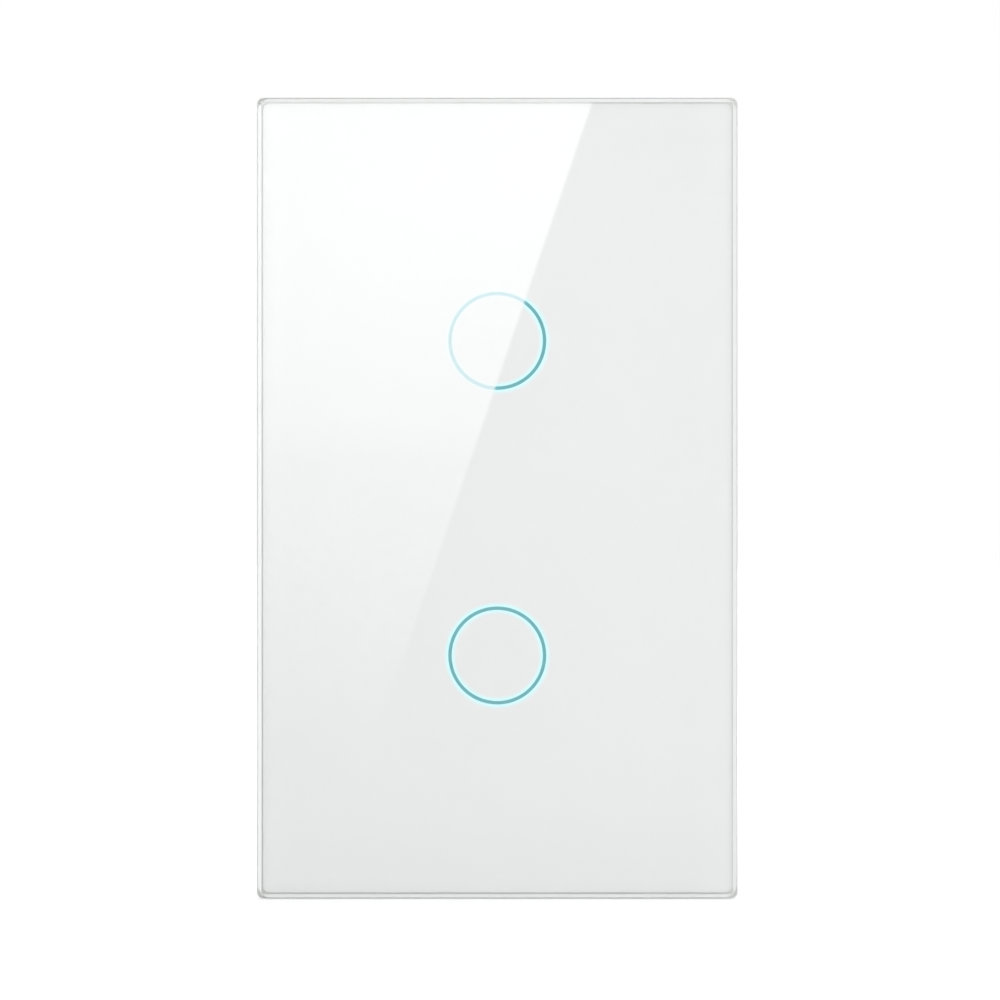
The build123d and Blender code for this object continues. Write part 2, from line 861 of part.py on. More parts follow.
def ring_lamps():
    lamps = []
    body = Box(lamp_width, lamp_length, lamp_height)
    for z in key_places:
        for turn in lamp_turns():
            lamp = Rot(Z=turn) * Pos(ring_radius, 0, lamp_height / 2) * body
            lamps.append(facing_front(lamp, 0, -board_front, z))
    return Compound(children=lamps)


def biarc(start, start_way, end, end_way):
    """Two tangent arcs from one point and direction to another."""
    chord = end - start
    both = start_way + end_way
    square = 2 * (start_way.dot(end_way) - 1)
    half = -chord.dot(both)
    root = math.sqrt(half * half - square * chord.dot(chord))
    reach = (-half - root) / square
    middle = (start + start_way * reach + end - end_way * reach) / 2
    first = TangentArc(start, middle, tangent=start_way)
    second = TangentArc(middle, end, tangent=first % 1)
    return [first, second]


def spring_point(turn, height):
    """A point of the sensing spring's centre line and its direction, turn counted from the board."""
    angle = 2 * math.pi * turn
    share = turn / spring_turns
    radius = spring_foot_radius + (spring_head_radius - spring_foot_radius) * share
    narrowing = (spring_head_radius - spring_foot_radius) / (2 * math.pi * spring_turns)
    climb = (height - spring_wire) / (2 * math.pi * spring_turns)
    place = Vector(
        radius * math.cos(angle), radius * math.sin(angle), spring_wire / 2 + (height - spring_wire) * share
    )
    way = Vector(
        narrowing * math.cos(angle) - radius * math.sin(angle),
        narrowing * math.sin(angle) + radius * math.cos(angle),
        climb,
    )
    return place, way.normalized()


def spring_self_gap(height):
    """The least gap between neighbouring turns, measured on points of the centre line."""
    steps = 24
    count = int(spring_turns * steps)
    points = [spring_point(n / steps, height)[0] for n in range(count + 1)]
    pairs = [(a, b) for a in range(count) for b in range(a + steps // 2, count + 1)]
    return min((points[a] - points[b]).length for a, b in pairs) - spring_wire


def touch_spring(z):
    """A conical sensing spring that stands on the board and reaches the back of the print."""
    height = print_back - spring_gap - board_front
    arcs = []
    halves = round(2 * spring_turns)
    for n in range(halves):
        start, start_way = spring_point(n * spring_turns / halves, height)
        end, end_way = spring_point((n + 1) * spring_turns / halves, height)
        arcs += biarc(start, start_way, end, end_way)
    path = Wire([arc.edge() for arc in arcs])
    section = Plane(origin=path @ 0, z_dir=path % 0) * RegularPolygon(spring_wire / 2, spring_sides)
    return facing_front(sweep(section, path=path), 0, -board_front, z)


def touch_chip():
    """The touch controller, with its legs bent down to the back of the board."""
    near = -board_back + chip_drop
    body = slab(Pos(0, chip_z) * Rectangle(chip_length, chip_width), near, near + chip_height)
    legs = []
    level = near + chip_height / 2
    for n in range(leg_count):
        x = (n - (leg_count - 1) / 2) * leg_pitch
        for side in (1, -1):
            root = chip_z + side * chip_width / 2
            tip = root + side * leg_reach
            points = [
                (root, level),
                (root + side * leg_reach / 2, level),
                (root + side * leg_reach / 2, -board_back + leg_thickness / 2),
                (tip, -board_back + leg_thickness / 2),
            ]
            strip = trace(Polyline(*points), leg_thickness)
            legs.append(crosswise(strip, x - leg_width / 2, x + leg_width / 2) - body)
    return Compound(children=[body, *legs])


def radio_board():
    low = radio_z - radio_height / 2
    back = -board_back + radio_board_thickness
    return brick(-radio_width / 2, radio_width / 2, -board_back, back, low, low + radio_height)


def radio_shield():
    z = radio_z + shield_offset
    front = -board_back + radio_board_thickness
    outer = slab(Pos(0, z) * Rectangle(shield_width, shield_height), front, front + shield_depth)
    outer = chamfer(outer.faces().sort_by(Axis.Y)[-1].edges(), shield_wall)
    inner = Rectangle(shield_width - 2 * shield_wall, shield_height - 2 * shield_wall)
    return outer - slab(Pos(0, z) * inner, front - overrun, front + shield_depth - shield_wall)


def header_block(front, back, hole):
    """One half of the header, pierced for the pins."""
    width = header_columns * header_pitch - 2 * header_margin
    height = header_rows * header_pitch - 2 * header_margin
    body = slab(Pos(0, header_z) * Rectangle(width, height), front, back)
    for x, z in header_places():
        body = body - slab(Pos(x, z) * Rectangle(hole, hole), front - overrun, back + overrun)
    return body


def header_body():
    return header_block(-board_back, power_front - header_socket_height, pin_width + pin_play)


def header_socket():
    return header_block(power_front - header_socket_height, power_front, pin_width + 2 * pin_play)


def header_pins():
    pins = []
    for x, z in header_places():
        front = -board_front - pin_proud
        back = power_front - header_socket_height / 4
        pin = slab(Pos(x, z) * Rectangle(pin_width, pin_width), front, back)
        pins.append(chamfer(pin.faces().sort_by(Axis.Y)[-1].edges(), pin_width / 4))
    return Compound(children=pins)


def power_board():
    width = housing_inner_width - 2 * power_board_clearance
    height = housing_inner_height - 2 * power_board_clearance
    board = Rectangle(width, height)
    notch = housing_boss_radius + power_notch_gap
    for x, z in corners(2 * boss_x, 2 * boss_z):
        board = board - Pos(x, z) * Circle(notch)
        corner_x = math.copysign(width / 2 + overrun, x)
        corner_z = math.copysign(height / 2 + overrun, z)
        inner_x = x - math.copysign(notch, x)
        inner_z = z - math.copysign(notch, z)
        board = board - Pos((inner_x + corner_x) / 2, (z + corner_z) / 2) * Rectangle(
            abs(corner_x - inner_x), abs(corner_z - z)
        )
        board = board - Pos((x + corner_x) / 2, (inner_z + corner_z) / 2) * Rectangle(
            abs(corner_x - x), abs(corner_z - inner_z)
        )
    holes = [(x, bar_leg_low + bar_thickness / 2) for x in cell_places]
    solid = slab(board, power_front, power_back)
    for x, z in holes:
        slot = Pos(x, z) * Rectangle(bar_width / 2 + 2 * pin_play, bar_thickness + 2 * pin_play)
        solid = solid - slab(slot, power_front - overrun, power_back + overrun)
    for middle in relay_middles:
        for x, z in relay_pin_places(middle):
            size = relay_pin_width + 2 * pin_play
            hole = Pos(x, z) * Rectangle(size, size)
            solid = solid - slab(hole, power_front - overrun, power_back + overrun)
    for x, z, start in lead_places():
        hole = Pos(x, z) * RegularPolygon(lead_radius + pin_play, lead_sides)
        solid = solid - slab(hole, power_front - overrun, power_back + overrun)
    return solid


# Relay levels above the power board's back face, and places along its length from its middle
relay_deck = relay_lift + relay_base_thickness
relay_leg_top = relay_deck + relay_frame_thickness
relay_bobbin_top = relay_leg_top + bobbin_height
relay_pole_top = relay_bobbin_top + pole_height
armature_under = relay_pole_top + pole_gap
armature_top = armature_under + armature_thickness
frame_outer = relay_length / 2 - relay_wall - relay_frame_gap
frame_inner = frame_outer - relay_frame_thickness
coil_middle = frame_inner - relay_fit - bobbin_radius
contact_place = frame_outer - blade_length + contact_radius
strip_place = -relay_length / 2 + relay_wall + contact_wall_gap
moving_face = armature_top - contact_height
fixed_face = moving_face - contact_gap
stop_under = armature_top + blade_thickness + stop_gap


def relay_depth(level):
    """Depth behind the wall of a level above the power board."""
    return power_back + level


def relay_brick(middle, left, right, low, high, near, far):
    """A block of a relay, measured from its middle line, from the board and along the relay."""
    return brick(
        middle + left, middle + right, relay_depth(low), relay_depth(high), relay_z + near, relay_z + far
    )


def relay_pin_places(middle):
    """The coil's two pins, the common pin, and the pins of the fixed contact and the stop."""
    half = relay_pin_spacing / 2
    strip = relay_z + strip_place + contact_strip / 2
    return [
        (middle - half, relay_z + coil_middle - bobbin_radius),
        (middle + half, relay_z + coil_middle - bobbin_radius),
        (middle, relay_z + frame_inner),
        (middle, strip),
        (middle + stop_reach, relay_z + contact_place),
    ]


def relay_cover(middle):
    half_width = relay_width / 2
    half_length = relay_length / 2
    cover = relay_brick(middle, -half_width, half_width, relay_lift, relay_height, -half_length, half_length)
    top = cover.faces().sort_by(Axis.Y)[-1].edges()
    cover = fillet(top, relay_edge)
    inner_width = half_width - relay_wall
    inner_length = half_length - relay_wall
    ceiling = relay_height - relay_wall
    hollow = relay_brick(
        middle, -inner_width, inner_width, relay_lift - overrun, ceiling, -inner_length, inner_length
    )
    return cover - hollow


def relay_base(middle):
    half_width = relay_width / 2 - relay_wall - relay_fit
    half_length = relay_length / 2 - relay_wall - relay_fit
    base = relay_brick(middle, -half_width, half_width, relay_lift, relay_deck, -half_length, half_length)
    size = relay_pin_width + 2 * pin_play
    for x, z in relay_pin_places(middle):
        hole = Pos(x, z) * Rectangle(size, size)
        base = base - slab(hole, relay_depth(relay_lift - overrun), relay_depth(relay_deck + overrun))
    strip = contact_strip_width / 2 + pin_play
    slot = relay_brick(
        middle,
        -strip,
        strip,
        relay_lift - overrun,
        relay_deck + overrun,
        strip_place - pin_play,
        strip_place + contact_strip + pin_play,
    )
    return base - slot


def relay_frame(middle):
    """The L-shaped iron frame and the core riveted into its foot."""
    half = relay_frame_width / 2
    toe = coil_middle - bobbin_radius + relay_pin_width
    foot = relay_brick(middle, -half, half, relay_deck, relay_leg_top, toe, frame_outer)
    back = relay_brick(middle, -half, half, relay_deck, armature_under - hinge_gap, frame_inner, frame_outer)
    z = relay_z + coil_middle
    core = prism(middle, z, relay_depth(relay_deck), relay_depth(relay_bobbin_top), core_radius)
    pole = prism(middle, z, relay_depth(relay_bobbin_top), relay_depth(relay_pole_top), pole_radius)
    return foot + back + core + pole


def relay_coil(middle):
    """The bobbin with its winding between two flanges."""
    z = relay_z + coil_middle
    under = relay_depth(relay_leg_top)
    top = relay_depth(relay_bobbin_top)
    coil = prism(middle, z, under, top, bobbin_radius - winding_margin)
    coil = coil + prism(middle, z, under, under + bobbin_flange, bobbin_radius)
    coil = coil + prism(middle, z, top - bobbin_flange, top, bobbin_radius)
    return coil - prism(middle, z, under - overrun, top + overrun, core_radius + core_play)


def relay_armature(middle):
    """The armature plate and the contact blade riveted on it, with its moving contact."""
    half = armature_width / 2
    plate = relay_brick(
        middle, -half, half, armature_under, armature_top, frame_outer - armature_length, frame_outer
    )
    blade_start = frame_outer - armature_length + blade_overlap
    blade = relay_brick(
        middle,
        -blade_width / 2,
        blade_width / 2,
        armature_top,
        armature_top + blade_thickness,
        frame_outer - blade_length,
        blade_start,
    )
    contact = prism(
        middle, relay_z + contact_place, relay_depth(moving_face), relay_depth(armature_top), contact_radius
    )
    return plate + blade + contact


def relay_contacts(middle):
    """The fixed contact on its strip, the stop over the blade, and the pins."""
    half = contact_strip_width / 2
    tab_top = fixed_face - fixed_contact_height
    tab_under = tab_top - contact_strip
    tip = -power_board_thickness - relay_pin_proud / 2
    wide = relay_brick(middle, -half, half, relay_lift, tab_top, strip_place, strip_place + contact_strip)
    tab = relay_brick(middle, -half, half, tab_under, tab_top, strip_place, contact_place + contact_radius)
    button = prism(
        middle, relay_z + contact_place, relay_depth(tab_top), relay_depth(fixed_face), contact_radius
    )
    solids = []
    pin = relay_pin_width / 2
    places = relay_pin_places(middle)
    x, z = places[3]
    section = Pos(x, z) * Rectangle(relay_pin_width, contact_strip)
    fixed_pin = slab(section, relay_depth(tip), relay_depth(relay_lift))
    solids.append(wide + tab + button + fixed_pin)
    x, z = places[4]
    stop_top = stop_under + contact_strip
    leg = brick(x - pin, x + pin, relay_depth(tip), relay_depth(stop_top), z - pin, z + pin)
    arm = brick(
        middle - blade_width / 2,
        x + pin,
        relay_depth(stop_under),
        relay_depth(stop_top),
        z - pin,
        z + pin,
    )
    solids.append(leg + arm)
    for x, z in places[:2]:
        solids.append(brick(x - pin, x + pin, relay_depth(tip), relay_depth(relay_leg_top), z - pin, z + pin))
    x, z = places[2]
    solids.append(brick(x - pin, x + pin, relay_depth(tip), relay_depth(relay_deck), z - pin, z + pin))
    return Compound(children=solids)


def relay_return_spring(middle):
    """A bent leaf fixed on the back of the frame, whose top lies on the armature."""
    half = return_spring_width / 2
    low = relay_deck + (armature_under - relay_deck) * (1 - return_spring_share)
    high = armature_top + return_spring_thickness
    back_face = frame_outer + return_spring_thickness
    back = relay_brick(middle, -half, half, low, high, frame_outer, back_face)
    top = relay_brick(
        middle, -half, half, armature_top, high, frame_outer - return_spring_reach, back_face
    )
    return back + top


def transformer_frame():
    """The closed iron frame round the coil, with its centre limb."""
    base = relay_depth(transformer_foot)
    top = relay_depth(transformer_depth)
    half_width = transformer_width / 2
    half_core = core_width / 2
    outer = brick(
        transformer_x - half_width,
        transformer_x + half_width,
        base,
        top,
        transformer_z - half_core,
        transformer_z + half_core,
    )
    inner_half = half_width - core_limb / 2
    hollow = brick(
        transformer_x - inner_half,
        transformer_x + inner_half,
        base + core_limb / 2,
        top - core_limb / 2,
        transformer_z - half_core - overrun,
        transformer_z + half_core + overrun,
    )
    limb = brick(
        transformer_x - core_limb / 2,
        transformer_x + core_limb / 2,
        base,
        top,
        transformer_z - half_core,
        transformer_z + half_core,
    )
    return outer - hollow + limb


def transformer_coil():
    """The wound bobbin round the centre limb, and the foot that stands on the board."""
    base = relay_depth(transformer_foot)
    top = relay_depth(transformer_depth)
    half_height = transformer_height / 2
    half_coil = transformer_width / 2 - core_limb / 2 - coil_margin
    coil = brick(
        transformer_x - half_coil,
        transformer_x + half_coil,
        base + core_limb / 2 + coil_margin,
        top - core_limb / 2 - coil_margin,
        transformer_z - half_height,
        transformer_z + half_height,
    )
    coil = fillet(coil.edges().filter_by(Axis.Y), coil_margin)
    limb_half = core_limb / 2 + pin_play
    passage = brick(
        transformer_x - limb_half,
        transformer_x + limb_half,
        base - overrun,
        top + overrun,
        transformer_z - core_width / 2 - pin_play,
        transformer_z + core_width / 2 + pin_play,
    )
    coil = coil - passage
    feet = []
    for side in (1, -1):
        near = transformer_z + side * (core_width / 2 + coil_margin)
        far = transformer_z + side * half_height
        feet.append(
            brick(
                transformer_x - half_coil,
                transformer_x + half_coil,
                power_back,
                base + core_limb / 2 + coil_margin,
                min(near, far),
                max(near, far),
            )
        )
    return joined(coil, feet)


def can(x, radius, height):
    top = relay_depth(height)
    body = rod(x, cap_z, power_back, top, radius)
    return chamfer(body.faces().sort_by(Axis.Y)[-1].edges(), cap_rim)


def smoothing_capacitors():
    big = can(big_cap_x, big_cap_radius, big_cap_height)
    small = can(small_cap_x, small_cap_radius, small_cap_height)
    return Compound(children=[big, small])


def line_capacitor():
    body = brick(
        line_cap_x - line_cap_width / 2,
        line_cap_x + line_cap_width / 2,
        power_back,
        relay_depth(line_cap_height),
        line_cap_z - line_cap_depth / 2,
        line_cap_z + line_cap_depth / 2,
    )
    return chamfer(body.faces().sort_by(Axis.Y)[-1].edges(), line_cap_edge)


def choke():
    """A drum core with a waist where the wire is wound."""
    top = relay_depth(choke_height)
    drum = rod(choke_x, choke_z, power_back, power_back + choke_flange, choke_radius)
    drum = drum + rod(choke_x, choke_z, top - choke_flange, top, choke_radius)
    return drum + rod(choke_x, choke_z, power_back, top, choke_radius * choke_waist_share)


def fuse():
    body = rod(fuse_x, fuse_z, power_back, relay_depth(fuse_height), fuse_radius)
    return chamfer(body.faces().sort_by(Axis.Y)[-1].edges(), line_cap_edge)


def varistor():
    """A dipped disc that stands on edge on its two leads."""
    middle = relay_depth(varistor_lift + varistor_radius)
    disc = Cylinder(varistor_radius, varistor_thickness)
    disc = chamfer(disc.edges(), varistor_thickness / 4)
    return Pos(varistor_x, middle, varistor_z) * disc


def rectifier():
    body = brick(
        rectifier_x - rectifier_width / 2,
        rectifier_x + rectifier_width / 2,
        power_back,
        relay_depth(rectifier_height),
        rectifier_z - rectifier_depth / 2,
        rectifier_z + rectifier_depth / 2,
    )
    return chamfer(body.edges().filter_by(Axis.Y), line_cap_edge)


def lead_places():
    """Where the supply parts' round leads stand, in X and Z, and how high they reach."""
    inner = varistor_radius * lead_inset_share - lead_radius
    varistor_start = varistor_lift + varistor_radius - math.sqrt(varistor_radius**2 - inner**2)
    pairs = [
        (big_cap_x, cap_z, big_cap_radius, 0),
        (small_cap_x, cap_z, small_cap_radius, 0),
        (line_cap_x, line_cap_z, line_cap_width / 2, 0),
        (choke_x, choke_z, choke_radius * choke_waist_share, 0),
        (fuse_x, fuse_z, fuse_radius, 0),
        (varistor_x, varistor_z, varistor_radius, varistor_start),
        (rectifier_x, rectifier_z, rectifier_width / 2, 0),
    ]
    return [
        (x + side * reach * lead_inset_share, z, start) for x, z, reach, start in pairs for side in (1, -1)
    ]


def component_leads():
    """The cut ends of the leads, from the parts to just past the board's front."""
    leads = []
    for x, z, start in lead_places():
        section = Pos(x, z) * RegularPolygon(lead_radius, lead_sides)
        leads.append(slab(section, power_back - lead_length, relay_depth(start)))
    return Compound(children=leads)


def terminal_block():
    """A row of cells, each with a shelf for the screw's head above the clamp's chamber."""
    half = cell_count * cell_pitch / 2
    body = brick(-half, half, power_back, block_top, block_low, block_high)
    for x in cell_places:
        side = cell_width / 2
        body = body - brick(x - side, x + side, cell_under, shelf_under, cell_low, cell_high)
        body = body - rod(x, clamp_z, shelf_under - overrun, head_under + overrun, screw_radius + head_play)
        body = body - rod(x, clamp_z, head_under, block_top + overrun, head_radius + head_play)
        entry = Pos(x, 0) * entry_outline(0)
        body = body - upright(entry, block_low - overrun, cell_low + overrun)
        bar = bar_width / 2 + pin_play
        near = bar_leg_low - pin_play
        far = bar_leg_low + bar_thickness + pin_play
        high = bar_top + pin_play
        body = body - brick(x - bar, x + bar, bar_under - pin_play, high, cell_low, far)
        body = body - brick(x - bar, x + bar, power_back - overrun, high, near, far)
    return body


def terminal_bars():
    """Bent brass bars: each lies in its clamp, turns down behind the cell and ends in a solder pin."""
    bars = []
    half = bar_width / 2
    for x in cell_places:
        start = cell_low + cage_end_gap
        end = bar_leg_low + bar_thickness
        flat = brick(x - half, x + half, bar_under, bar_top, start, end)
        leg = brick(x - half, x + half, power_back, bar_top, bar_leg_low, end)
        pin = brick(x - half / 2, x + half / 2, power_front - bar_tail_length, power_back, bar_leg_low, end)
        bars.append(flat + leg + pin)
    return Compound(children=bars)


def terminal_screw(x):
    """A slotted clamp screw whose tip stays on the bar."""
    shank_end = bar_top + screw_tip_gap
    head = rod(x, clamp_z, head_under, head_top, head_radius)
    head = chamfer(head.faces().sort_by(Axis.Y)[-1].edges(), head_height * screw_edge_share / 2)
    shank = rod(x, clamp_z, shank_end, head_under, screw_radius)
    depth = head_height * drive_depth_share
    slot = brick(
        x - head_radius - overrun,
        x + head_radius + overrun,
        head_top - depth,
        head_top + overrun,
        clamp_z - screw_slot_width / 2,
        clamp_z + screw_slot_width / 2,
    )
    return head + shank - slot


def clamp_cage(x):
    """A square brass cage: the screw lifts it by its threaded top, and its floor grips the wire."""
    half = cage_width / 2
    near = clamp_z - cage_length / 2
    far = clamp_z + cage_length / 2
    outline = Pos(x, (cage_under + cage_roof) / 2) * RectangleRounded(
        cage_width, cage_roof - cage_under, cage_corner
    )
    cage = upright(outline, near, far)
    inside = brick(
        x - half + cage_wall,
        x + half - cage_wall,
        cage_floor_top,
        cage_roof - cage_top,
        near - overrun,
        far + overrun,
    )
    hole = screw_radius + screw_thread_play
    thread = rod(x, clamp_z, cage_roof - cage_top - overrun, cage_roof + overrun, hole)
    seam = brick(
        x + half - cage_wall - overrun,
        x + half + overrun,
        cage_roof - cage_top - cage_seam,
        cage_roof - cage_top,
        near - overrun,
        far + overrun,
    )
    return cage - inside - thread - seam


nodes = {
    "glass_panel": glass_panel(),
    "back_print": back_print(),
    "panel_tape": panel_tape(),
    "panel_frame": panel_frame(),
    "retaining_clips": retaining_clips(),
    "clip_rivets": clip_rivets(),
    "base_frame": base_frame(),
    "mounting_yoke": mounting_yoke(),
    "yoke_screws": yoke_screws(),
    "rear_housing": rear_housing(),
    "housing_screws": housing_screws(),
    "touch_board": touch_board(),
    "board_screws": board_screws(),
    "light_ring_upper": light_ring(key_places[0]),
    "light_ring_lower": light_ring(key_places[1]),
    "ring_lamps": ring_lamps(),
    "touch_spring_upper": touch_spring(key_places[0]),
    "touch_spring_lower": touch_spring(key_places[1]),
    "touch_chip": touch_chip(),
    "radio_board": radio_board(),
    "radio_shield": radio_shield(),
    "header_body": header_body(),
    "header_socket": header_socket(),
    "header_pins": header_pins(),
    "power_board": power_board(),
    "transformer_frame": transformer_frame(),
    "transformer_coil": transformer_coil(),
    "smoothing_capacitors": smoothing_capacitors(),
    "line_capacitor": line_capacitor(),
    "choke": choke(),
    "fuse": fuse(),
    "varistor": varistor(),
    "rectifier": rectifier(),
    "component_leads": component_leads(),
    "terminal_block": terminal_block(),
    "terminal_bars": terminal_bars(),
}
for side, middle in zip(("left", "right"), relay_middles):
    nodes[f"relay_cover_{side}"] = relay_cover(middle)
    nodes[f"relay_base_{side}"] = relay_base(middle)
    nodes[f"relay_frame_{side}"] = relay_frame(middle)
    nodes[f"relay_coil_{side}"] = relay_coil(middle)
    nodes[f"relay_armature_{side}"] = relay_armature(middle)
    nodes[f"relay_contacts_{side}"] = relay_contacts(middle)
    nodes[f"relay_return_spring_{side}"] = relay_return_spring(middle)
for number, x in enumerate(cell_places, 1):
    nodes[f"terminal_screw_{number}"] = terminal_screw(x)
    nodes[f"clamp_cage_{number}"] = clamp_cage(x)

spring_height = print_back - spring_gap - board_front
print("least gap between the sensing spring's turns:", round(spring_self_gap(spring_height), 3), "mm")

os.makedirs("parts", exist_ok=True)
for name, shape in nodes.items():
    export_step(shape, f"parts/{name}.step")
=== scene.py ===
import json
import math

import bpy
from mathutils import Matrix, Vector


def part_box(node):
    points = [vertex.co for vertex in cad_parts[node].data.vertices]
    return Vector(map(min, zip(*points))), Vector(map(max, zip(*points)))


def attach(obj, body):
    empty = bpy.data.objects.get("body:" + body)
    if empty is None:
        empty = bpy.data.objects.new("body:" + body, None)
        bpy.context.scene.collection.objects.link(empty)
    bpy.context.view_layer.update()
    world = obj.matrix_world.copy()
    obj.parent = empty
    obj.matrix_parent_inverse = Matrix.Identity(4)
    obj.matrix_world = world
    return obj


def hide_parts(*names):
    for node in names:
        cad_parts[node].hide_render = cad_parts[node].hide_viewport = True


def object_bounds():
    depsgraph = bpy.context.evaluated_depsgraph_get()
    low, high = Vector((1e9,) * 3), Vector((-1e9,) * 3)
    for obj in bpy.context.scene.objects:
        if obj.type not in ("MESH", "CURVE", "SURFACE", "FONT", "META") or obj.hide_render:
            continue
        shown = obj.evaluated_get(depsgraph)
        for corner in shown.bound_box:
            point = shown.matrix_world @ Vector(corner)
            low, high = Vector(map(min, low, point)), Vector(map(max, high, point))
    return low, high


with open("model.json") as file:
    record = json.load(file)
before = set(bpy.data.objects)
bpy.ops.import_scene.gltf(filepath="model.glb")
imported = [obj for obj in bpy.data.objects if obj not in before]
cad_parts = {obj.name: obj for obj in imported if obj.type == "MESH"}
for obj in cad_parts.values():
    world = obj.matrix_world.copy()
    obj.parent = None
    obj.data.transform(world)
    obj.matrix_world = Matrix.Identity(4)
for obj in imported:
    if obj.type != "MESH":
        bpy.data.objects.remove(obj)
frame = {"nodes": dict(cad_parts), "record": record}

mm = 0.001
print("stage: frame loaded,", len(frame["nodes"]), "pieces")

for name in ("Cube", "Camera", "Light"):
    if name in bpy.data.objects and name not in frame["nodes"]:
        bpy.data.objects.remove(bpy.data.objects[name])
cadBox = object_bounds()
scene = bpy.context.scene
scene.view_settings.view_transform = "Standard"


def clearSelection():
    if bpy.context.object and bpy.context.object.mode != "OBJECT":
        bpy.ops.object.mode_set(mode="OBJECT")
    bpy.ops.object.select_all(action="DESELECT")


def pick(piece):
    clearSelection()
    piece.select_set(True)
    bpy.context.view_layer.objects.active = piece


def settle(piece):
    # Puts a piece's place, turn and scale into its mesh
    pick(piece)
    bpy.ops.object.transform_apply(location=True, rotation=True, scale=True)


def addNode(tree, kind, inputs=None, **values):
    node = tree.nodes.new("ShaderNode" + kind)
    for key, value in values.items():
        setattr(node, key, value)
    plug(node, inputs or {})
    return node


def plug(node, values):
    # Fills a node's inputs, each from a plain value or from another node's output
    for key, value in values.items():
        socket = node.inputs[key]
        if isinstance(value, bpy.types.NodeSocket):
            node.id_data.links.new(value, socket)
        elif socket.type == "RGBA" and len(value) == 3:
            socket.default_value = (*value, 1)
        else:
            socket.default_value = value


signs = {"+": "ADD", "-": "SUBTRACT", "*": "MULTIPLY", ">": "GREATER_THAN", "<": "LESS_THAN"}


def addMath(sign, *values, clamp=False):
    # A sum, named by its sign or else as the node names it, in the tree that its values come from
    tree = next(v.id_data for v in values if isinstance(v, bpy.types.NodeSocket))
    inputs = dict(enumerate(values))
    return addNode(tree, "Math", inputs, operation=signs.get(sign, sign), use_clamp=clamp).outputs[0]


def addChain(value, *steps):
    # One sum after another, each done to what the last one gave
    for sign, *second in steps:
        value = addMath(sign, value, *second)
    return value


def addWave(value, scale):
    # Falls from a half to 0 and rises again, scale times a metre
    return addChain(value, ("*", scale), ("FRACT",), ("-", 0.5), ("ABSOLUTE",))


def addRamp(factor, stops):
    node = addNode(factor.id_data, "ValToRGB", {"Fac": factor})
    ramp = node.color_ramp
    while len(ramp.elements) > len(stops):
        ramp.elements.remove(ramp.elements[-1])
    while len(ramp.elements) < len(stops):
        ramp.elements.new(1.0)
    for element, (place, level) in zip(ramp.elements, stops):
        element.position = place
        colour = level if isinstance(level, tuple) else (level, level, level)
        element.color = (*colour, 1.0)
    return node.outputs["Color"]


def addMap(value, low, high, toLow=0.0, toHigh=1.0, smooth=False):
    inputs = {"Value": value, "From Min": low, "From Max": high, "To Min": toLow, "To Max": toHigh}
    kind = "SMOOTHSTEP" if smooth else "LINEAR"
    node = addNode(value.id_data, "MapRange", inputs, clamp=True, interpolation_type=kind)
    return node.outputs["Result"]


def addMix(factor, first, second):
    inputs = {0: factor, 6: first, 7: second}
    return addNode(factor.id_data, "Mix", inputs, data_type="RGBA").outputs[2]


def addNoise(vector, scale, detail=2.0):
    inputs = {"Vector": vector, "Scale": scale, "Detail": detail}
    return addNode(vector.id_data, "TexNoise", inputs).outputs["Fac"]


def addScaled(colour, factor):
    inputs = {0: colour, "Scale": factor}
    return addNode(colour.id_data, "VectorMath", inputs, operation="SCALE").outputs[0]


def splitAxes(vector):
    return addNode(vector.id_data, "SeparateXYZ", {0: vector}).outputs


def objectPlace(tree):
    return addNode(tree, "TexCoord").outputs["Object"]


def surfaceWay(tree):
    # How much the surface looks along each axis
    return splitAxes(addNode(tree, "NewGeometry").outputs["True Normal"])


def newLook(name):
    look = bpy.data.materials.new(name)
    look.use_nodes = True
    tree = look.node_tree
    return look, tree, tree.nodes["Principled BSDF"]


def newGroup(name, inputs, outputs):
    # Three numbers make a vector input and four a colour; of the outputs only Colour carries colour
    group = bpy.data.node_groups.new(name, "ShaderNodeTree")
    for label, value in inputs.items():
        count = len(value) if isinstance(value, tuple) else 1
        kind = {1: "NodeSocketFloat", 3: "NodeSocketVector", 4: "NodeSocketColor"}[count]
        group.interface.new_socket(label, in_out="INPUT", socket_type=kind).default_value = value
    for label in outputs:
        kind = "NodeSocketColor" if label == "Colour" else "NodeSocketFloat"
        group.interface.new_socket(label, in_out="OUTPUT", socket_type=kind)
    return group, group.nodes.new("NodeGroupInput").outputs, group.nodes.new("NodeGroupOutput")


def placeGroup(tree, group, values=None):
    return addNode(tree, "Group", values, node_tree=group).outputs


studio = {
    "faceWidthSeen": 149.75 * mm,    # what the picture takes in at the glass
    "distance": 1.2,
    "pictureShift": (0.41 * mm, -0.28 * mm),
    "floorDrop": 0.15 * mm,
    "floorSize": 12.0,
    "floorColour": (0.93, 0.93, 0.93),
    "floorRoughness": 0.9,
    "floorGlow": (0.25, 0.5),        # near the object, and far away where the lamps don't reach
    "glowReach": (0.15, 0.9),        # where the near glow ends and the far one starts
    "seenLevel": 1.0,
    "lightLevel": 0.70,
}
softboxes = {
    "keySoftbox": {"place": (-0.5, -0.9, 0.6), "aim": (0, 0, 0), "size": (0.6, 0.6), "power": 2.05},
    "fillSoftbox": {"place": (0.6, -0.7, -0.01), "aim": (0, 0, -0.05), "size": (0.5, 0.1), "power": 2.3},
    "backSoftbox": {"place": (0.2, 0.9, 0.6), "aim": (0, 0, 0), "size": (0.7, 0.5), "power": 3.0},
}


def addSeenMask(tree):
    # 1 for a ray from the camera, from gloss or through glass
    path = addNode(tree, "LightPath").outputs
    seen = addMath("MAXIMUM", path["Is Camera Ray"], path["Is Glossy Ray"])
    return addMath("MAXIMUM", seen, path["Is Transmission Ray"])


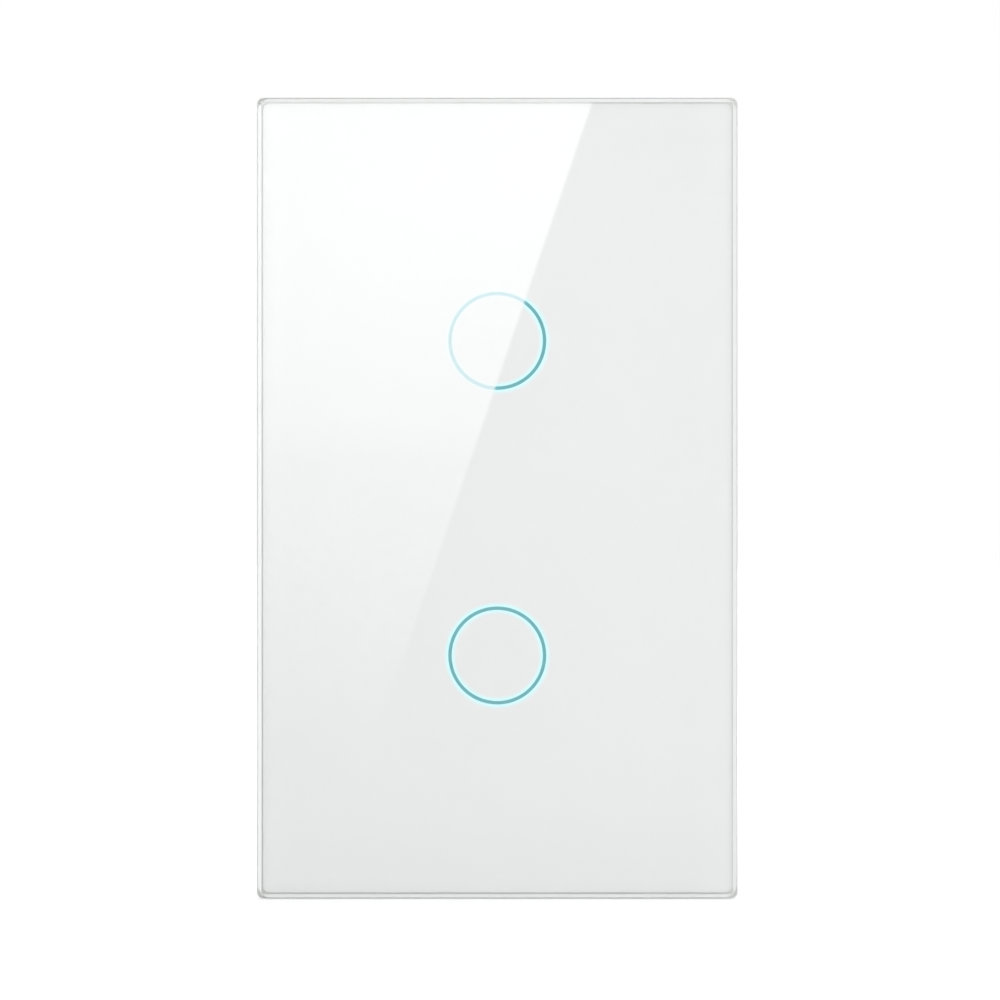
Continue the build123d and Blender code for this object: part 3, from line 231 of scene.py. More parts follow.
def placeCamera():
    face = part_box("glass_panel")[0].y
    data = bpy.data.cameras.new("portraitCamera")
    data.sensor_width = 36.0
    data.lens = data.sensor_width * studio["distance"] / studio["faceWidthSeen"]
    data.clip_start = 0.01
    camera = bpy.data.objects.new("portraitCamera", data)
    scene.collection.objects.link(camera)
    across, up = studio["pictureShift"]
    camera.location = (across, face - studio["distance"], up)
    camera.rotation_euler = (math.radians(90), 0, 0)
    scene.camera = camera


def buildFloor():
    clearSelection()
    place = (0, 0, cadBox[0].z - studio["floorDrop"])
    bpy.ops.mesh.primitive_plane_add(size=studio["floorSize"], location=place)
    floor = bpy.context.object
    floor.name = "studioFloor"
    look, tree, shader = newLook("floorPaper")
    away = addNode(tree, "VectorMath", {0: objectPlace(tree)}, operation="LENGTH").outputs["Value"]
    glow = addMap(away, *studio["glowReach"], *studio["floorGlow"], smooth=True)
    plug(shader, {
        "Base Color": studio["floorColour"], "Roughness": studio["floorRoughness"],
        "Emission Color": addMath("*", glow, addSeenMask(tree)), "Emission Strength": 1.0,
    })
    look.cycles.emission_sampling = "NONE"
    floor.data.materials.append(look)
    floor.visible_glossy = False     # its far edge would draw a line across the glass


def lightWorld():
    world = bpy.data.worlds.new("paleRoom")
    scene.world = world
    world.use_nodes = True
    tree = world.node_tree
    tree.nodes.clear()
    seen, light = (
        addNode(tree, "Background", {"Color": (1, 1, 1), "Strength": studio[key]}).outputs[0]
        for key in ("seenLevel", "lightLevel")
    )
    mix = addNode(tree, "MixShader", {0: addSeenMask(tree), 1: light, 2: seen})
    addNode(tree, "OutputWorld", {"Surface": mix.outputs[0]})


def addSoftbox(name, settings):
    data = bpy.data.lights.new(name, "AREA")
    data.shape = "RECTANGLE"
    data.size, data.size_y = settings["size"]
    data.energy = settings["power"]
    lamp = bpy.data.objects.new(name, data)
    scene.collection.objects.link(lamp)
    lamp.location = settings["place"]
    way = Vector(settings["aim"]) - Vector(settings["place"])
    lamp.rotation_euler = way.to_track_quat("-Z", "Y").to_euler()
    lamp.visible_camera = False
    lamp.visible_glossy = False
    lamp.visible_transmission = False


def addCard(name, lookName, place, turn, size):
    # A glowing card that is seen in mirror images only
    clearSelection()
    bpy.ops.mesh.primitive_plane_add(size=1, location=place, rotation=[math.radians(v) for v in turn])
    card = bpy.context.object
    card.name = name
    card.scale = (*size, 1)
    settle(card)
    look, tree, _ = newLook(lookName)
    tree.nodes.clear()
    glow = addNode(tree, "Emission")
    addNode(tree, "OutputMaterial", {"Surface": glow.outputs[0]})
    look.cycles.emission_sampling = "NONE"
    card.data.materials.append(look)
    card.visible_camera = False
    card.visible_diffuse = False
    card.visible_transmission = False
    card.visible_shadow = False
    return tree, glow


sideCard = {"x": -0.5, "deep": 0.1, "tall": 0.2, "strength": 3.6, "footShare": 0.7}


def buildSideCard():
    # Narrow light that the left chamfer mirrors, brightest at the top
    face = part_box("glass_panel")[0].y
    size = (sideCard["tall"], sideCard["deep"])
    tree, glow = addCard("sideCard", "sideLight", (sideCard["x"], face, 0), (0, 90, 0), size)
    z = splitAxes(objectPlace(tree))["Z"]
    half, top = sideCard["tall"] / 2, sideCard["strength"]
    plug(glow, {"Strength": addMap(z, -half, half, sideCard["footShare"] * top, top)})


windowCard = {
    "behind": 0.03,                   # how far behind the camera the card hangs
    "size": (0.36, 0.5),
    "topEdge": (14.3, 59.5),          # two points of the slanted edge as seen on the glass, X and Z in mm
    "lowEdge": (-12.6, -19.5),
    "softness": 0.35,                 # of the slanted edge, in mm on the glass
    "strength": 3.9,
    "levels": [(-36, 0.0), (-16, 0.2), (6, 0.42), (12, 0.62), (34, 0.86), (54, 1.0)],
}


def buildWindowCard():
    # The bright window that the glass mirrors: a slanted right edge, and a fading foot
    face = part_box("glass_panel")[0].y
    across, up = studio["pictureShift"]
    plane = face - studio["distance"] - windowCard["behind"]
    reach = 2 + windowCard["behind"] / studio["distance"]    # card size over the size seen on the glass

    def mirrored(point):
        return across + (point[0] * mm - across) * reach, up + (point[1] * mm - up) * reach

    tree, glow = addCard("windowCard", "windowLight", (0, plane, 0), (90, 0, 0), windowCard["size"])
    x, _, z = splitAxes(objectPlace(tree))
    top, low = mirrored(windowCard["topEdge"]), mirrored(windowCard["lowEdge"])
    slope = (top[0] - low[0]) / (top[1] - low[1])
    edge = addChain(z, ("*", slope), ("+", low[0] - slope * low[1]))
    soft = windowCard["softness"] * mm * reach
    side = addMap(addMath("-", edge, x), -soft, soft, smooth=True)
    heights = [mirrored((0, height))[1] for height, level in windowCard["levels"]]
    span = heights[-1] - heights[0]
    stops = [((at - heights[0]) / span, level) for at, (_, level) in zip(heights, windowCard["levels"])]
    fade = addRamp(addMap(z, heights[0], heights[-1]), stops)
    plug(glow, {"Strength": windowCard["strength"], "Color": addMath("*", side, fade)})


placeCamera()
buildFloor()
lightWorld()
buildWindowCard()
buildSideCard()
for name, settings in softboxes.items():
    addSoftbox(name, settings)
print("stage: studio ready")


def addBlock(name, low, high, unit=mm):
    # A box between two corners
    clearSelection()
    low, high = Vector(low) * unit, Vector(high) * unit
    bpy.ops.mesh.primitive_cube_add(size=1, location=(low + high) / 2)
    block = bpy.context.object
    block.name = name
    block.scale = high - low
    settle(block)
    return block


def smooth(piece, angle=35):
    pick(piece)
    bpy.ops.object.shade_smooth_by_angle(angle=math.radians(angle))


def applyModifier(piece, kind, **values):
    pick(piece)
    modifier = piece.modifiers.new(kind.lower(), kind)
    for key, value in values.items():
        setattr(modifier, key, value)
    bpy.ops.object.modifier_apply(modifier=modifier.name)


def bevelEdges(piece, test, width, segments=1):
    # Bevels the edges whose two ends pass the test
    bpy.ops.object.mode_set(mode="EDIT")
    bpy.ops.mesh.select_mode(type="EDGE")
    bpy.ops.mesh.select_all(action="DESELECT")
    bpy.ops.object.mode_set(mode="OBJECT")
    for edge in piece.data.edges:
        edge.select = test(*(piece.data.vertices[n].co.y for n in edge.vertices))
    bpy.ops.object.mode_set(mode="EDIT")
    bpy.ops.mesh.bevel(offset=width * mm, segments=segments)
    bpy.ops.object.mode_set(mode="OBJECT")


glassLook = {
    "tint": (0.992, 1.0, 0.997),
    "sideTint": (0.74, 0.90, 0.84),
    "ior": 1.5,
    "chamferRoughness": 0.03,
    "grindScale": 2500,
    "cornerRadius": 1.0,
    "cornerSegments": 10,
    "frontChamfer": 0.68,
    "backChamfer": 0.25,
    "arris": 0.05,
    "contact": 0.06,          # how far the glass reaches into the enamel, so that no air lies between
}


def makeGlassLook():
    look, tree, shader = newLook("clearGlass")
    flat = addMath("ABSOLUTE", surfaceWay(tree)["Y"])
    ground = addMap(flat, 0.95, 0.75)              # the chamfers and sides, not the two faces
    side = addMap(flat, 0.4, 0.1)                  # the narrow sides alone
    haze = addNoise(objectPlace(tree), glassLook["grindScale"])
    plug(shader, {
        "Transmission Weight": 1.0, "IOR": glassLook["ior"],
        "Base Color": addMix(side, glassLook["tint"], glassLook["sideTint"]),
        "Roughness": addChain(haze, ("*", glassLook["chamferRoughness"]), ("*", ground)),
    })
    shadow = addNode(tree, "LightPath").outputs["Is Shadow Ray"]
    clear = addNode(tree, "BsdfTransparent")
    mix = addNode(tree, "MixShader", {0: shadow, 1: shader.outputs[0], 2: clear.outputs[0]})
    plug(tree.nodes["Material Output"], {"Surface": mix.outputs[0]})
    return look


def buildGlassPlate():
    low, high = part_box("glass_panel")
    high = high + Vector((0, glassLook["contact"] * mm, 0))
    near = 0.01 * mm
    glass = addBlock("glassPlate", low, high, 1)
    bevelEdges(glass, lambda a, b: abs(a - b) > mm, glassLook["cornerRadius"], glassLook["cornerSegments"])
    bevelEdges(glass, lambda a, b: max(a, b) < low.y + near, glassLook["frontChamfer"])
    bevelEdges(glass, lambda a, b: min(a, b) > high.y - near, glassLook["backChamfer"])
    applyModifier(
        glass, "BEVEL", width=glassLook["arris"] * mm, segments=2, limit_method="ANGLE",
        angle_limit=math.radians(30),
    )
    smooth(glass, 12)
    glass.data.materials.append(makeGlassLook())
    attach(glass, "front_panel")
    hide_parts("glass_panel")


enamelLook = {
    "colour": (0.90, 0.90, 0.90),
    "roughness": 0.45,
    "mottle": 0.006,
    "mottleScale": 900,
    "ringHeight": 23.6,
    "ringRadius": 7.1,
    # the halo is a painted glow of the ring's cyan light on the enamel round each window
    "haloWidth": 1.05,
    "haloFade": 1.3,
    "halo": (0.0, 0.30, 0.36),
    "haloTint": (0.62, 0.90, 0.90),
    "reflectionEdge": (2.1, 23.6, 0.3405),      # a point of the painted reflection's right edge, and its slope
    "reflectionSoftness": 0.3,
    "reflectionShare": 0.8,
}


def makeReflectionGroup():
    # Painted reflection: 1 where the mirrored window washes out the upper ring, 0 elsewhere
    group, _, end = newGroup("paintedReflectionMask", {}, ["Reflected"])
    x, _, z = splitAxes(objectPlace(group))
    across, up, slope = enamelLook["reflectionEdge"]
    soft = enamelLook["reflectionSoftness"] * mm
    beside = addChain(z, ("-", up * mm), ("*", slope), ("+", across * mm), ("-", x))
    reflected = addMap(beside, -soft, soft, smooth=True)
    upper = addMath(">", z, 0)
    plug(end, {"Reflected": addMath("*", reflected, upper)})
    return group


def makeEnamelLook():
    look, tree, shader = newLook("whiteEnamel")
    place = objectPlace(tree)
    x, _, z = splitAxes(place)
    # Painted glow round each ring window, in the emission and a cyan base colour
    fromRing = addChain(z, ("ABSOLUTE",), ("-", enamelLook["ringHeight"] * mm))
    wide, tall = (addMath("*", v, v) for v in (x, fromRing))
    away = addChain(wide, ("+", tall), ("SQRT",), ("-", enamelLook["ringRadius"] * mm), ("ABSOLUTE",))
    near = addMap(away, enamelLook["haloWidth"] * mm, 0.0)
    reflected = placeGroup(tree, paintedReflectionGroup)["Reflected"]
    # the painted glow is weaker under the painted reflection
    kept = addMath("-", 1, addMath("*", reflected, enamelLook["reflectionShare"]))
    near = addChain(near, ("POWER", enamelLook["haloFade"]), ("*", kept))
    noise = addNoise(place, enamelLook["mottleScale"])
    low, high = (tuple(c * (1 + s * enamelLook["mottle"]) for c in enamelLook["colour"]) for s in (-1, 1))
    plain = addRamp(noise, [(0.3, low), (0.7, high)])
    plug(shader, {
        "Base Color": addMix(near, plain, enamelLook["haloTint"]), "Roughness": enamelLook["roughness"],
        "Emission Color": addMix(near, (0, 0, 0), enamelLook["halo"]), "Emission Strength": 1.0,
    })
    return look


def makeEdgeGroup():
    # Finds the outer edges: 1 on a sharp ridge, 0 on a flat
    group, start, end = newGroup("ridgeFinder", {"Width": 0.0003}, ["Ridge"])
    bevel = addNode(group, "Bevel", {"Radius": start["Width"]}, samples=4)
    plain = addNode(group, "NewGeometry").outputs["Normal"]
    dot = addNode(group, "VectorMath", {0: plain, 1: bevel.outputs[0]}, operation="DOT_PRODUCT")
    plug(end, {"Ridge": addMap(dot.outputs["Value"], 0.995, 0.85)})
    return group


mouldSkin = {"flowScale": 70, "grainInRoughness": 0.12, "ridgeInRoughness": 0.1}


def makeMouldGroup():
    # The skin of a moulded piece: spark grain, faint flow marks and edges made paler as a painted highlight
    group, start, end = newGroup(
        "mouldedSkin",
        {
            "Colour": (0.8, 0.8, 0.8, 1), "Mottle": 0.02, "Grain Scale": 4000, "Roughness": 0.45,
            "Edge Highlight": 0.1,
        },
        ["Colour", "Roughness", "Height"],
    )
    place = objectPlace(group)
    fine = addNoise(place, start["Grain Scale"], 3)
    broad = addNoise(place, mouldSkin["flowScale"], 4)
    swing = addChain(broad, ("-", 0.5), ("*", start["Mottle"]), ("*", 2), ("+", 1))
    ridge = placeGroup(group, edgeGroup)["Ridge"]
    # painted highlight: the edges are made paler
    level = addMath("+", swing, addMath("*", ridge, start["Edge Highlight"]))
    rough = addChain(fine, ("*", mouldSkin["grainInRoughness"]), ("+", start["Roughness"]))
    polished = addMath("*", ridge, mouldSkin["ridgeInRoughness"])
    plug(end, {
        "Colour": addScaled(start["Colour"], level), "Height": fine,
        "Roughness": addMath("-", rough, polished, clamp=True),
    })
    return group


metalSkin = {
    "cloudScale": 420, "scratchScale": 260, "scratchEdge": 0.012, "breakScale": 700,
    "ridgeHighlight": 0.2, "scratchLight": 0.3, "dullInRoughness": 0.12, "scratchInRoughness": 0.12,
    "linesInRoughness": 0.16,
}


def makeMetalGroup():
    # Sheet or turned metal: fine rolling lines, cloudy plating, scratches and edges made brighter as a
    # painted highlight
    group, start, end = newGroup(
        "metalSkin",
        {
            "Colour": (0.7, 0.7, 0.7, 1), "Dull": (0.5, 0.5, 0.5, 1), "Clouding": 0.5, "Stretch": (1, 1, 1),
            "Line Scale": 3000, "Scratches": 0.3, "Roughness": 0.3,
        },
        ["Colour", "Roughness", "Height"],
    )
    place = objectPlace(group)
    drawn = addNode(group, "VectorMath", {0: place, 1: start["Stretch"]}, operation="MULTIPLY")
    lines = addNoise(drawn.outputs[0], start["Line Scale"], 4)
    cloud = addMap(addNoise(place, metalSkin["cloudScale"], 3), 0.35, 0.7)
    dull = addMath("*", cloud, start["Clouding"])
    inputs = {"Vector": place, "Scale": metalSkin["scratchScale"]}
    cells = addNode(group, "TexVoronoi", inputs, feature="DISTANCE_TO_EDGE").outputs
    cut = addMap(cells["Distance"], metalSkin["scratchEdge"], 0.0)
    broken = addMap(addNoise(place, metalSkin["breakScale"], 1), 0.55, 0.6)
    scratch = addChain(cut, ("*", broken), ("*", start["Scratches"]))
    ridge = placeGroup(group, edgeGroup)["Ridge"]
    # the ridge term is a painted highlight on the edges
    edgeHighlight, bright, worn, smoothed = (
        addMath("*", value, metalSkin[share]) for value, share in (
            (ridge, "ridgeHighlight"), (scratch, "scratchLight"), (dull, "dullInRoughness"),
            (scratch, "scratchInRoughness"),
        )
    )
    rough = addChain(lines, ("*", metalSkin["linesInRoughness"]), ("+", start["Roughness"]), ("+", worn))
    colour = addMix(dull, start["Colour"], start["Dull"])
    plug(end, {
        "Colour": addScaled(colour, addChain(edgeHighlight, ("+", bright), ("+", 1))),
        "Roughness": addMath("-", rough, smoothed, clamp=True),
        "Height": addMath("-", lines, scratch),
    })
    return group


paintedReflectionGroup = makeReflectionGroup()
edgeGroup = makeEdgeGroup()
mouldGroup = makeMouldGroup()
metalGroup = makeMetalGroup()


edgeRadius = 0.12        # of every edge as it is shaded, in mm


def addRelief(shader, height, strength, depth):
    # Bump on top of slightly rounded edges
    tree = shader.id_data
    rounded = addNode(tree, "Bevel", {"Radius": edgeRadius * mm}, samples=4)
    bump = addNode(tree, "Bump", {
        "Strength": strength, "Distance": depth * mm, "Height": height, "Normal": rounded.outputs[0],
    })
    plug(shader, {"Normal": bump.outputs[0]})


def makeSkin(name, group, values, relief, depth, **plain):
    # A finish from one of the two skin groups, with its height as relief
    look, tree, shader = newLook(name)
    skin = placeGroup(tree, group, values)
    plug(shader, {"Base Color": skin["Colour"], "Roughness": skin["Roughness"], **plain})
    addRelief(shader, skin["Height"], relief, depth)
    return look


def makeMoulding(name, relief, coat, *values):
    labels = ("Colour", "Roughness", "Grain Scale", "Mottle", "Edge Highlight")
    return makeSkin(name, mouldGroup, dict(zip(labels, values)), relief, 0.03, **{"Coat Weight": coat})


def makeMetal(name, *values):
    labels = ("Colour", "Dull", "Roughness", "Stretch", "Line Scale", "Clouding", "Scratches")
    return makeSkin(name, metalGroup, dict(zip(labels, values)), 0.2, 0.01, Metallic=1.0)


boardLook = {
    "mask": (0.012, 0.125, 0.052),
    "maskOnCopper": (0.03, 0.24, 0.10),
    "cloud": (0.02, 0.09, 0.045),
    "laminate": (0.46, 0.40, 0.21),
    "tin": (0.72, 0.72, 0.70),
    # painted shade for the open hole in each via ring
    "bore": (0.01, 0.015, 0.01),
    "cellScale": 190,        # patches of parallel tracks, per metre
    "trackScale": 1100,      # tracks per metre
    "trackShare": 0.55,      # of the patches
    "pourShare": 0.2,        # of the patches, with copper in nested squares
    "holeScale": 330,
    "holeShare": 0.38,
}


def makeBoardLook():
    # Green solder mask over copper tracks, with tinned via rings round bores of painted shade, and a
    # laminate edge
    look, tree, shader = newLook("solderMask")
    place = objectPlace(tree)
    x, _, z = splitAxes(place)
    flatPlace = addNode(tree, "CombineXYZ", {0: x, 1: z}).outputs[0]

    def addCells(scale, **values):
        inputs = {"Scale": scale, "Vector": flatPlace}
        cells = addNode(tree, "TexVoronoi", inputs, voronoi_dimensions="2D", **values).outputs
        return cells["Distance"], addNode(tree, "SeparateColor", {0: cells["Color"]}).outputs

    reach, draw = addCells(boardLook["cellScale"], distance="CHEBYCHEV")
    tracks = [addMap(addWave(axis, boardLook["trackScale"]), 0.24, 0.2) for axis in (x, z)]
    sideways = addMath(">", draw[0], 0.5)
    turned = addNode(tree, "Mix", {0: sideways, 2: tracks[0], 3: tracks[1]}, data_type="FLOAT")
    tracked = addMath(">", draw[1], 1 - boardLook["trackShare"])
    copper = addMath("*", turned.outputs[0], tracked)
    nested = addMap(addWave(reach, 3.5), 0.22, 0.18)
    poured = addMath("*", nested, addMath("<", draw[1], boardLook["pourShare"]))
    copper = addMath("MAXIMUM", copper, poured)
    reach, draw = addCells(boardLook["holeScale"])
    some = addMath(">", draw[0], 1 - boardLook["holeShare"])
    ring, bore = (addMath("*", addMap(reach, *edge), some) for edge in ((0.11, 0.1), (0.055, 0.045)))
    cloud = addMath("*", addNoise(place, 150, 3), 0.25)
    colour = addMix(copper, boardLook["mask"], boardLook["maskOnCopper"])
    for share, name in ((cloud, "cloud"), (ring, "tin"), (bore, "bore")):
        colour = addMix(share, colour, boardLook[name])
    rim = addMath("<", addMath("ABSOLUTE", surfaceWay(tree)["Y"]), 0.5)
    weave = addNoise(place, 2600, 2)
    laminate = addMix(weave, boardLook["laminate"], tuple(c * 1.35 for c in boardLook["laminate"]))
    tinned = addMath("-", ring, bore)
    metal = addMath("*", tinned, addMath("-", 1, rim))
    rough = addChain(rim, ("*", 0.4), ("+", 0.3), ("+", addMath("*", weave, 0.1)))
    plug(shader, {
        "Base Color": addMix(rim, colour, laminate), "Metallic": addMath("MAXIMUM", metal, 0),
        "Roughness": rough, "Coat Weight": 0.25,
    })
    addRelief(shader, addMath("+", copper, tinned), 0.6, 0.03)
    return look


guideLook = {
    "base": ((0.03, 0.17, 0.20), (0.05, 0.21, 0.24)),
    "lit": ((0.09, 0.225, 0.225), (0.10, 0.25, 0.26)),
    "pale": ((0.50, 0.52, 0.52), (0.56, 0.58, 0.58)),      # painted reflection: the ring's colour where the mirrored window washes out the upper ring
    "foot": (-4.6, 0.55),                                  # a depth in mm, and how bright it is there
    "crown": (-7.7, 1.0),
}


def makeGuideLook():
    # Tinted light guide, brightest along its crown
    look, tree, shader = newLook("litGuide")
    place = objectPlace(tree)
    cloud = addNoise(place, 1200, 3)
    base, lit, pale = (addMix(cloud, *guideLook[key]) for key in ("base", "lit", "pale"))
    (foot, dim), (crown, bright) = guideLook["foot"], guideLook["crown"]
    level = addMap(splitAxes(place)["Y"], foot * mm, crown * mm, dim, bright)
    # Painted reflection: the glow turns pale under the mirrored window's mask
    glow = addMix(placeGroup(tree, paintedReflectionGroup)["Reflected"], lit, pale)
    plug(shader, {
        "Base Color": base, "Roughness": 0.35, "Emission Color": addScaled(glow, level),
        "Emission Strength": 1.0,
    })
    return look


lampLook = {
    "body": ((0.72, 0.72, 0.70), (0.82, 0.82, 0.80)),
    "window": (0.85, 0.78, 0.35),
    "glow": (0.02, 0.30, 0.36),
}


def makeLampLook():
    look, tree, shader = newLook("lampPackage")
    front = addMath("<", surfaceWay(tree)["Y"], -0.5)
    body = addMix(addNoise(objectPlace(tree), 3000, 2), *lampLook["body"])
    plug(shader, {
        "Base Color": addMix(front, body, lampLook["window"]), "Roughness": 0.4,
        "Emission Color": addMix(front, (0, 0, 0), lampLook["glow"]), "Emission Strength": 1.0,
    })
    return look


def makeWireLook(name, colour, dark, pitch):
    # Close turns of enamelled wire, drawn as ridges along the winding's length, with painted shade in the
    # grooves between turns
    look, tree, shader = newLook(name)
    place = objectPlace(tree)
    wave = addWave(splitAxes(place)["Y"], 1 / (pitch * mm))
    turn = addMath("*", wave, 2)
    square = addMath("*", turn, turn)
    roundness = addMath("SQRT", addMath("-", 1, square, clamp=True))
    plug(shader, {
        "Base Color": addMix(roundness, dark, colour), "Metallic": 0.9, "Coat Weight": 0.6,
        "Roughness": addChain(addNoise(place, 900, 2), ("*", 0.15), ("+", 0.2)),
    })
    addRelief(shader, roundness, 0.8, pitch / 2)
    return look


mouldings = {
    # relief, coat, colour, roughness, grain in a metre, mottle, painted highlight on the edges
    "foamTape": (0.9, 0.0, (0.82, 0.82, 0.81), 0.85, 2600, 0.05, 0.0),
    "whiteMoulding": (0.22, 0.0, (0.80, 0.80, 0.785), 0.40, 4200, 0.015, 0.05),
    "greyMoulding": (0.3, 0.0, (0.40, 0.42, 0.44), 0.42, 3800, 0.03, 0.1),
    "chipBlack": (0.3, 0.0, (0.022, 0.022, 0.024), 0.5, 5200, 0.1, 0.6),
    "ferrite": (0.6, 0.0, (0.055, 0.055, 0.06), 0.6, 2600, 0.2, 0.5),
    "coilTape": (0.15, 0.4, (0.80, 0.52, 0.03), 0.22, 900, 0.08, 0.05),
    "canSleeve": (0.12, 0.5, (0.02, 0.028, 0.05), 0.18, 700, 0.15, 0.3),
    "capacitorBox": (0.12, 0.2, (0.78, 0.50, 0.03), 0.28, 1800, 0.04, 0.08),
    "fuseBrown": (0.2, 0.1, (0.10, 0.035, 0.016), 0.34, 2200, 0.1, 0.3),
    "varistorBlue": (0.35, 0.4, (0.02, 0.09, 0.42), 0.25, 800, 0.1, 0.1),
    "relayBlue": (0.1, 0.2, (0.012, 0.075, 0.36), 0.24, 3000, 0.03, 0.15),
}
metals = {
    # colour, dull colour, roughness, stretch of the lines, lines in a metre, clouding, scratches
    "zincPlate": ((0.66, 0.68, 0.70), (0.52, 0.54, 0.57), 0.26, (1, 1, 0.05), 5200, 0.5, 0.3),
    "darkSteel": ((0.10, 0.10, 0.11), (0.05, 0.05, 0.055), 0.34, (1, 1, 1), 2400, 0.5, 0.3),
    "springSteel": ((0.62, 0.61, 0.58), (0.50, 0.48, 0.45), 0.2, (1, 1, 0.04), 6000, 0.3, 0.3),
    "goldPin": ((0.86, 0.62, 0.24), (0.70, 0.46, 0.16), 0.18, (1, 0.05, 1), 5000, 0.3, 0.2),
    "brass": ((0.76, 0.56, 0.24), (0.60, 0.40, 0.15), 0.24, (1, 0.06, 1), 4200, 0.5, 0.3),
}
finishes = {
    "enamel": makeEnamelLook(),
    "circuit_board": makeBoardLook(),
    "light_guide": makeGuideLook(),
    "lamp": makeLampLook(),
    # its second colour is painted shade for the grooves between turns
    "copper_wire": makeWireLook("copperWire", (0.62, 0.22, 0.08), (0.16, 0.04, 0.012), 0.18),
}
for make, table in ((makeMoulding, mouldings), (makeMetal, metals)):
    for name, values in table.items():
        # whiteMoulding, say, is the finish of the slot white_moulding
        slot = "".join("_" + c.lower() if c.isupper() else c for c in name)
        finishes[slot] = make(name, *values)


def dressNodes():
    for row in frame["record"]["subparts"]:
        look = finishes.get(row["material_slot"])
        node = frame["nodes"][row["node"]]
        if look is None:
            continue
        for slot in node.material_slots:
            slot.material = look
        if not node.material_slots:
            node.data.materials.append(look)


dressNodes()
buildGlassPlate()
print("stage: finishes on", len(finishes), "slots, glass fitted")


def stackRings(name, profile, sides=40):
    # A turned shape along Z: a disc extruded up and scaled to each radius of the profile in turn
    clearSelection()
    radius, height = profile[0]
    bpy.ops.mesh.primitive_circle_add(
        vertices=sides, radius=radius * mm, fill_type="NGON", location=(0, 0, height * mm)
    )
    turned = bpy.context.object
    turned.name = name
    settle(turned)
    bpy.ops.object.mode_set(mode="EDIT")
    bpy.ops.mesh.select_mode(type="FACE")
    bpy.ops.mesh.select_all(action="SELECT")
    for nextRadius, nextHeight in profile[1:]:
        rise = (nextHeight - height) * mm
        bpy.ops.mesh.extrude_region_move(TRANSFORM_OT_translate={"value": (0, 0, rise)})
        bpy.ops.transform.resize(value=(nextRadius / radius, nextRadius / radius, 1))
        radius, height = nextRadius, nextHeight
    bpy.ops.mesh.select_all(action="SELECT")
    bpy.ops.mesh.remove_doubles(threshold=0.001 * mm)
    bpy.ops.mesh.normals_make_consistent(inside=False)
    bpy.ops.object.mode_set(mode="OBJECT")
    return turned


def joinPieces(pieces, name):
    clearSelection()
    for piece in pieces:
        piece.select_set(True)
    bpy.context.view_layer.objects.active = pieces[0]
    if len(pieces) > 1:
        bpy.ops.object.join()
    pieces[0].name = name
    pieces[0].data.name = name
    return pieces[0]


def cutAway(piece, cutter):
    applyModifier(piece, "BOOLEAN", object=cutter, operation="DIFFERENCE", solver="EXACT")
    bpy.data.objects.remove(cutter)


def copyTo(piece, name, matrix):
    copy = piece.copy()
    copy.data = piece.data.copy()
    copy.name = name
    scene.collection.objects.link(copy)
    copy.data.transform(matrix)
    return copy


def dress(pieces, name, body, slot, replaced=(), angle=35, look=None):
    piece = joinPieces(pieces, name)
    settle(piece)
    smooth(piece, angle)
    if not piece.data.materials:
        piece.data.materials.append(look or finishes[slot])
    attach(piece, body)
    if replaced:
        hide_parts(*replaced)


def turnZ(degrees):
    return Matrix.Rotation(math.radians(degrees), 4, "Z")


def facing(way, x, depth, z):
    # Turns a shape drawn along Z so that its top looks into the wall (1) or out of it (-1)
    turn = Matrix.Rotation(math.radians(-90 * way), 4, "X")
    return Matrix.Translation((x * mm, depth * mm, z * mm)) @ turn


def placeRings(name, profile, sides, *place):
    piece = stackRings(name, profile, sides)
    piece.data.transform(facing(*place))
    return piece


def addSpoke(name, half, near, far, rise, turn):
    # A bar between two distances from the centre, turned round it
    bar = addBlock(name, (-half, near, -sunk), (half, far, rise))
    bar.data.transform(turnZ(turn))
    return bar


def sized(shares, radius, height=1):
    # An outline in shares of a radius and a height, brought to size
    return [(across * radius, up * height) for across, up in shares]


def fourCorners(across, up):
    return (-across, up), (across, up), (-across, -up), (across, -up)


def frameBars(left, foot, right, top, line):
    # The four bars of a frame, each as left, foot, right, top
    return (
        (left, foot, right, foot + line), (left, top - line, right, top),
        (left, foot, left + line, top), (right - line, foot, right, top),
    )


def boxInMm(node):
    return (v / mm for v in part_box(node))


sunk = 0.02        # how far a mark or a shank reaches into what carries it
screwSets = {
    "yokeScrews": {
        "node": "yoke_screws", "slot": "zinc_plate", "way": 1, "head": 2.3, "height": 0.7, "shank": 1.2,
        "length": 4.0, "seat": -0.8, "places": (12.0, 50.0), "drive": 0.95,
    },
    "boardScrews": {
        "node": "board_screws", "slot": "zinc_plate", "way": -1, "head": 1.9, "height": 0.9, "shank": 1.0,
        "length": 2.9, "seat": -5.0, "places": (25.65, 30.45), "drive": 0.85,
    },
    "housingScrews": {
        "node": "housing_screws", "slot": "dark_steel", "way": 1, "head": 2.2, "height": 1.6, "shank": 1.3,
        "length": 7.5, "seat": 7.8, "places": (18.2, 29.4), "drive": 1.05,
    },
}
screwShape = {
    # shares of the head's radius and height, from the rim to the middle
    "crownShares": (
        (0.97, 0), (1, 0.08), (1, 0.38), (0.96, 0.62), (0.84, 0.83), (0.64, 0.95), (0.4, 0.995), (0.2, 1),
    ),
    # shares of the shank's radius and length, from the tip up
    "shankShares": ((0.45, -1), (0.86, -0.88)),
    "armWidth": 0.42, "recessShare": 0.65, "taperShare": 0.5, "pitch": 0.5, "firstTwist": 17, "twist": 31,
}


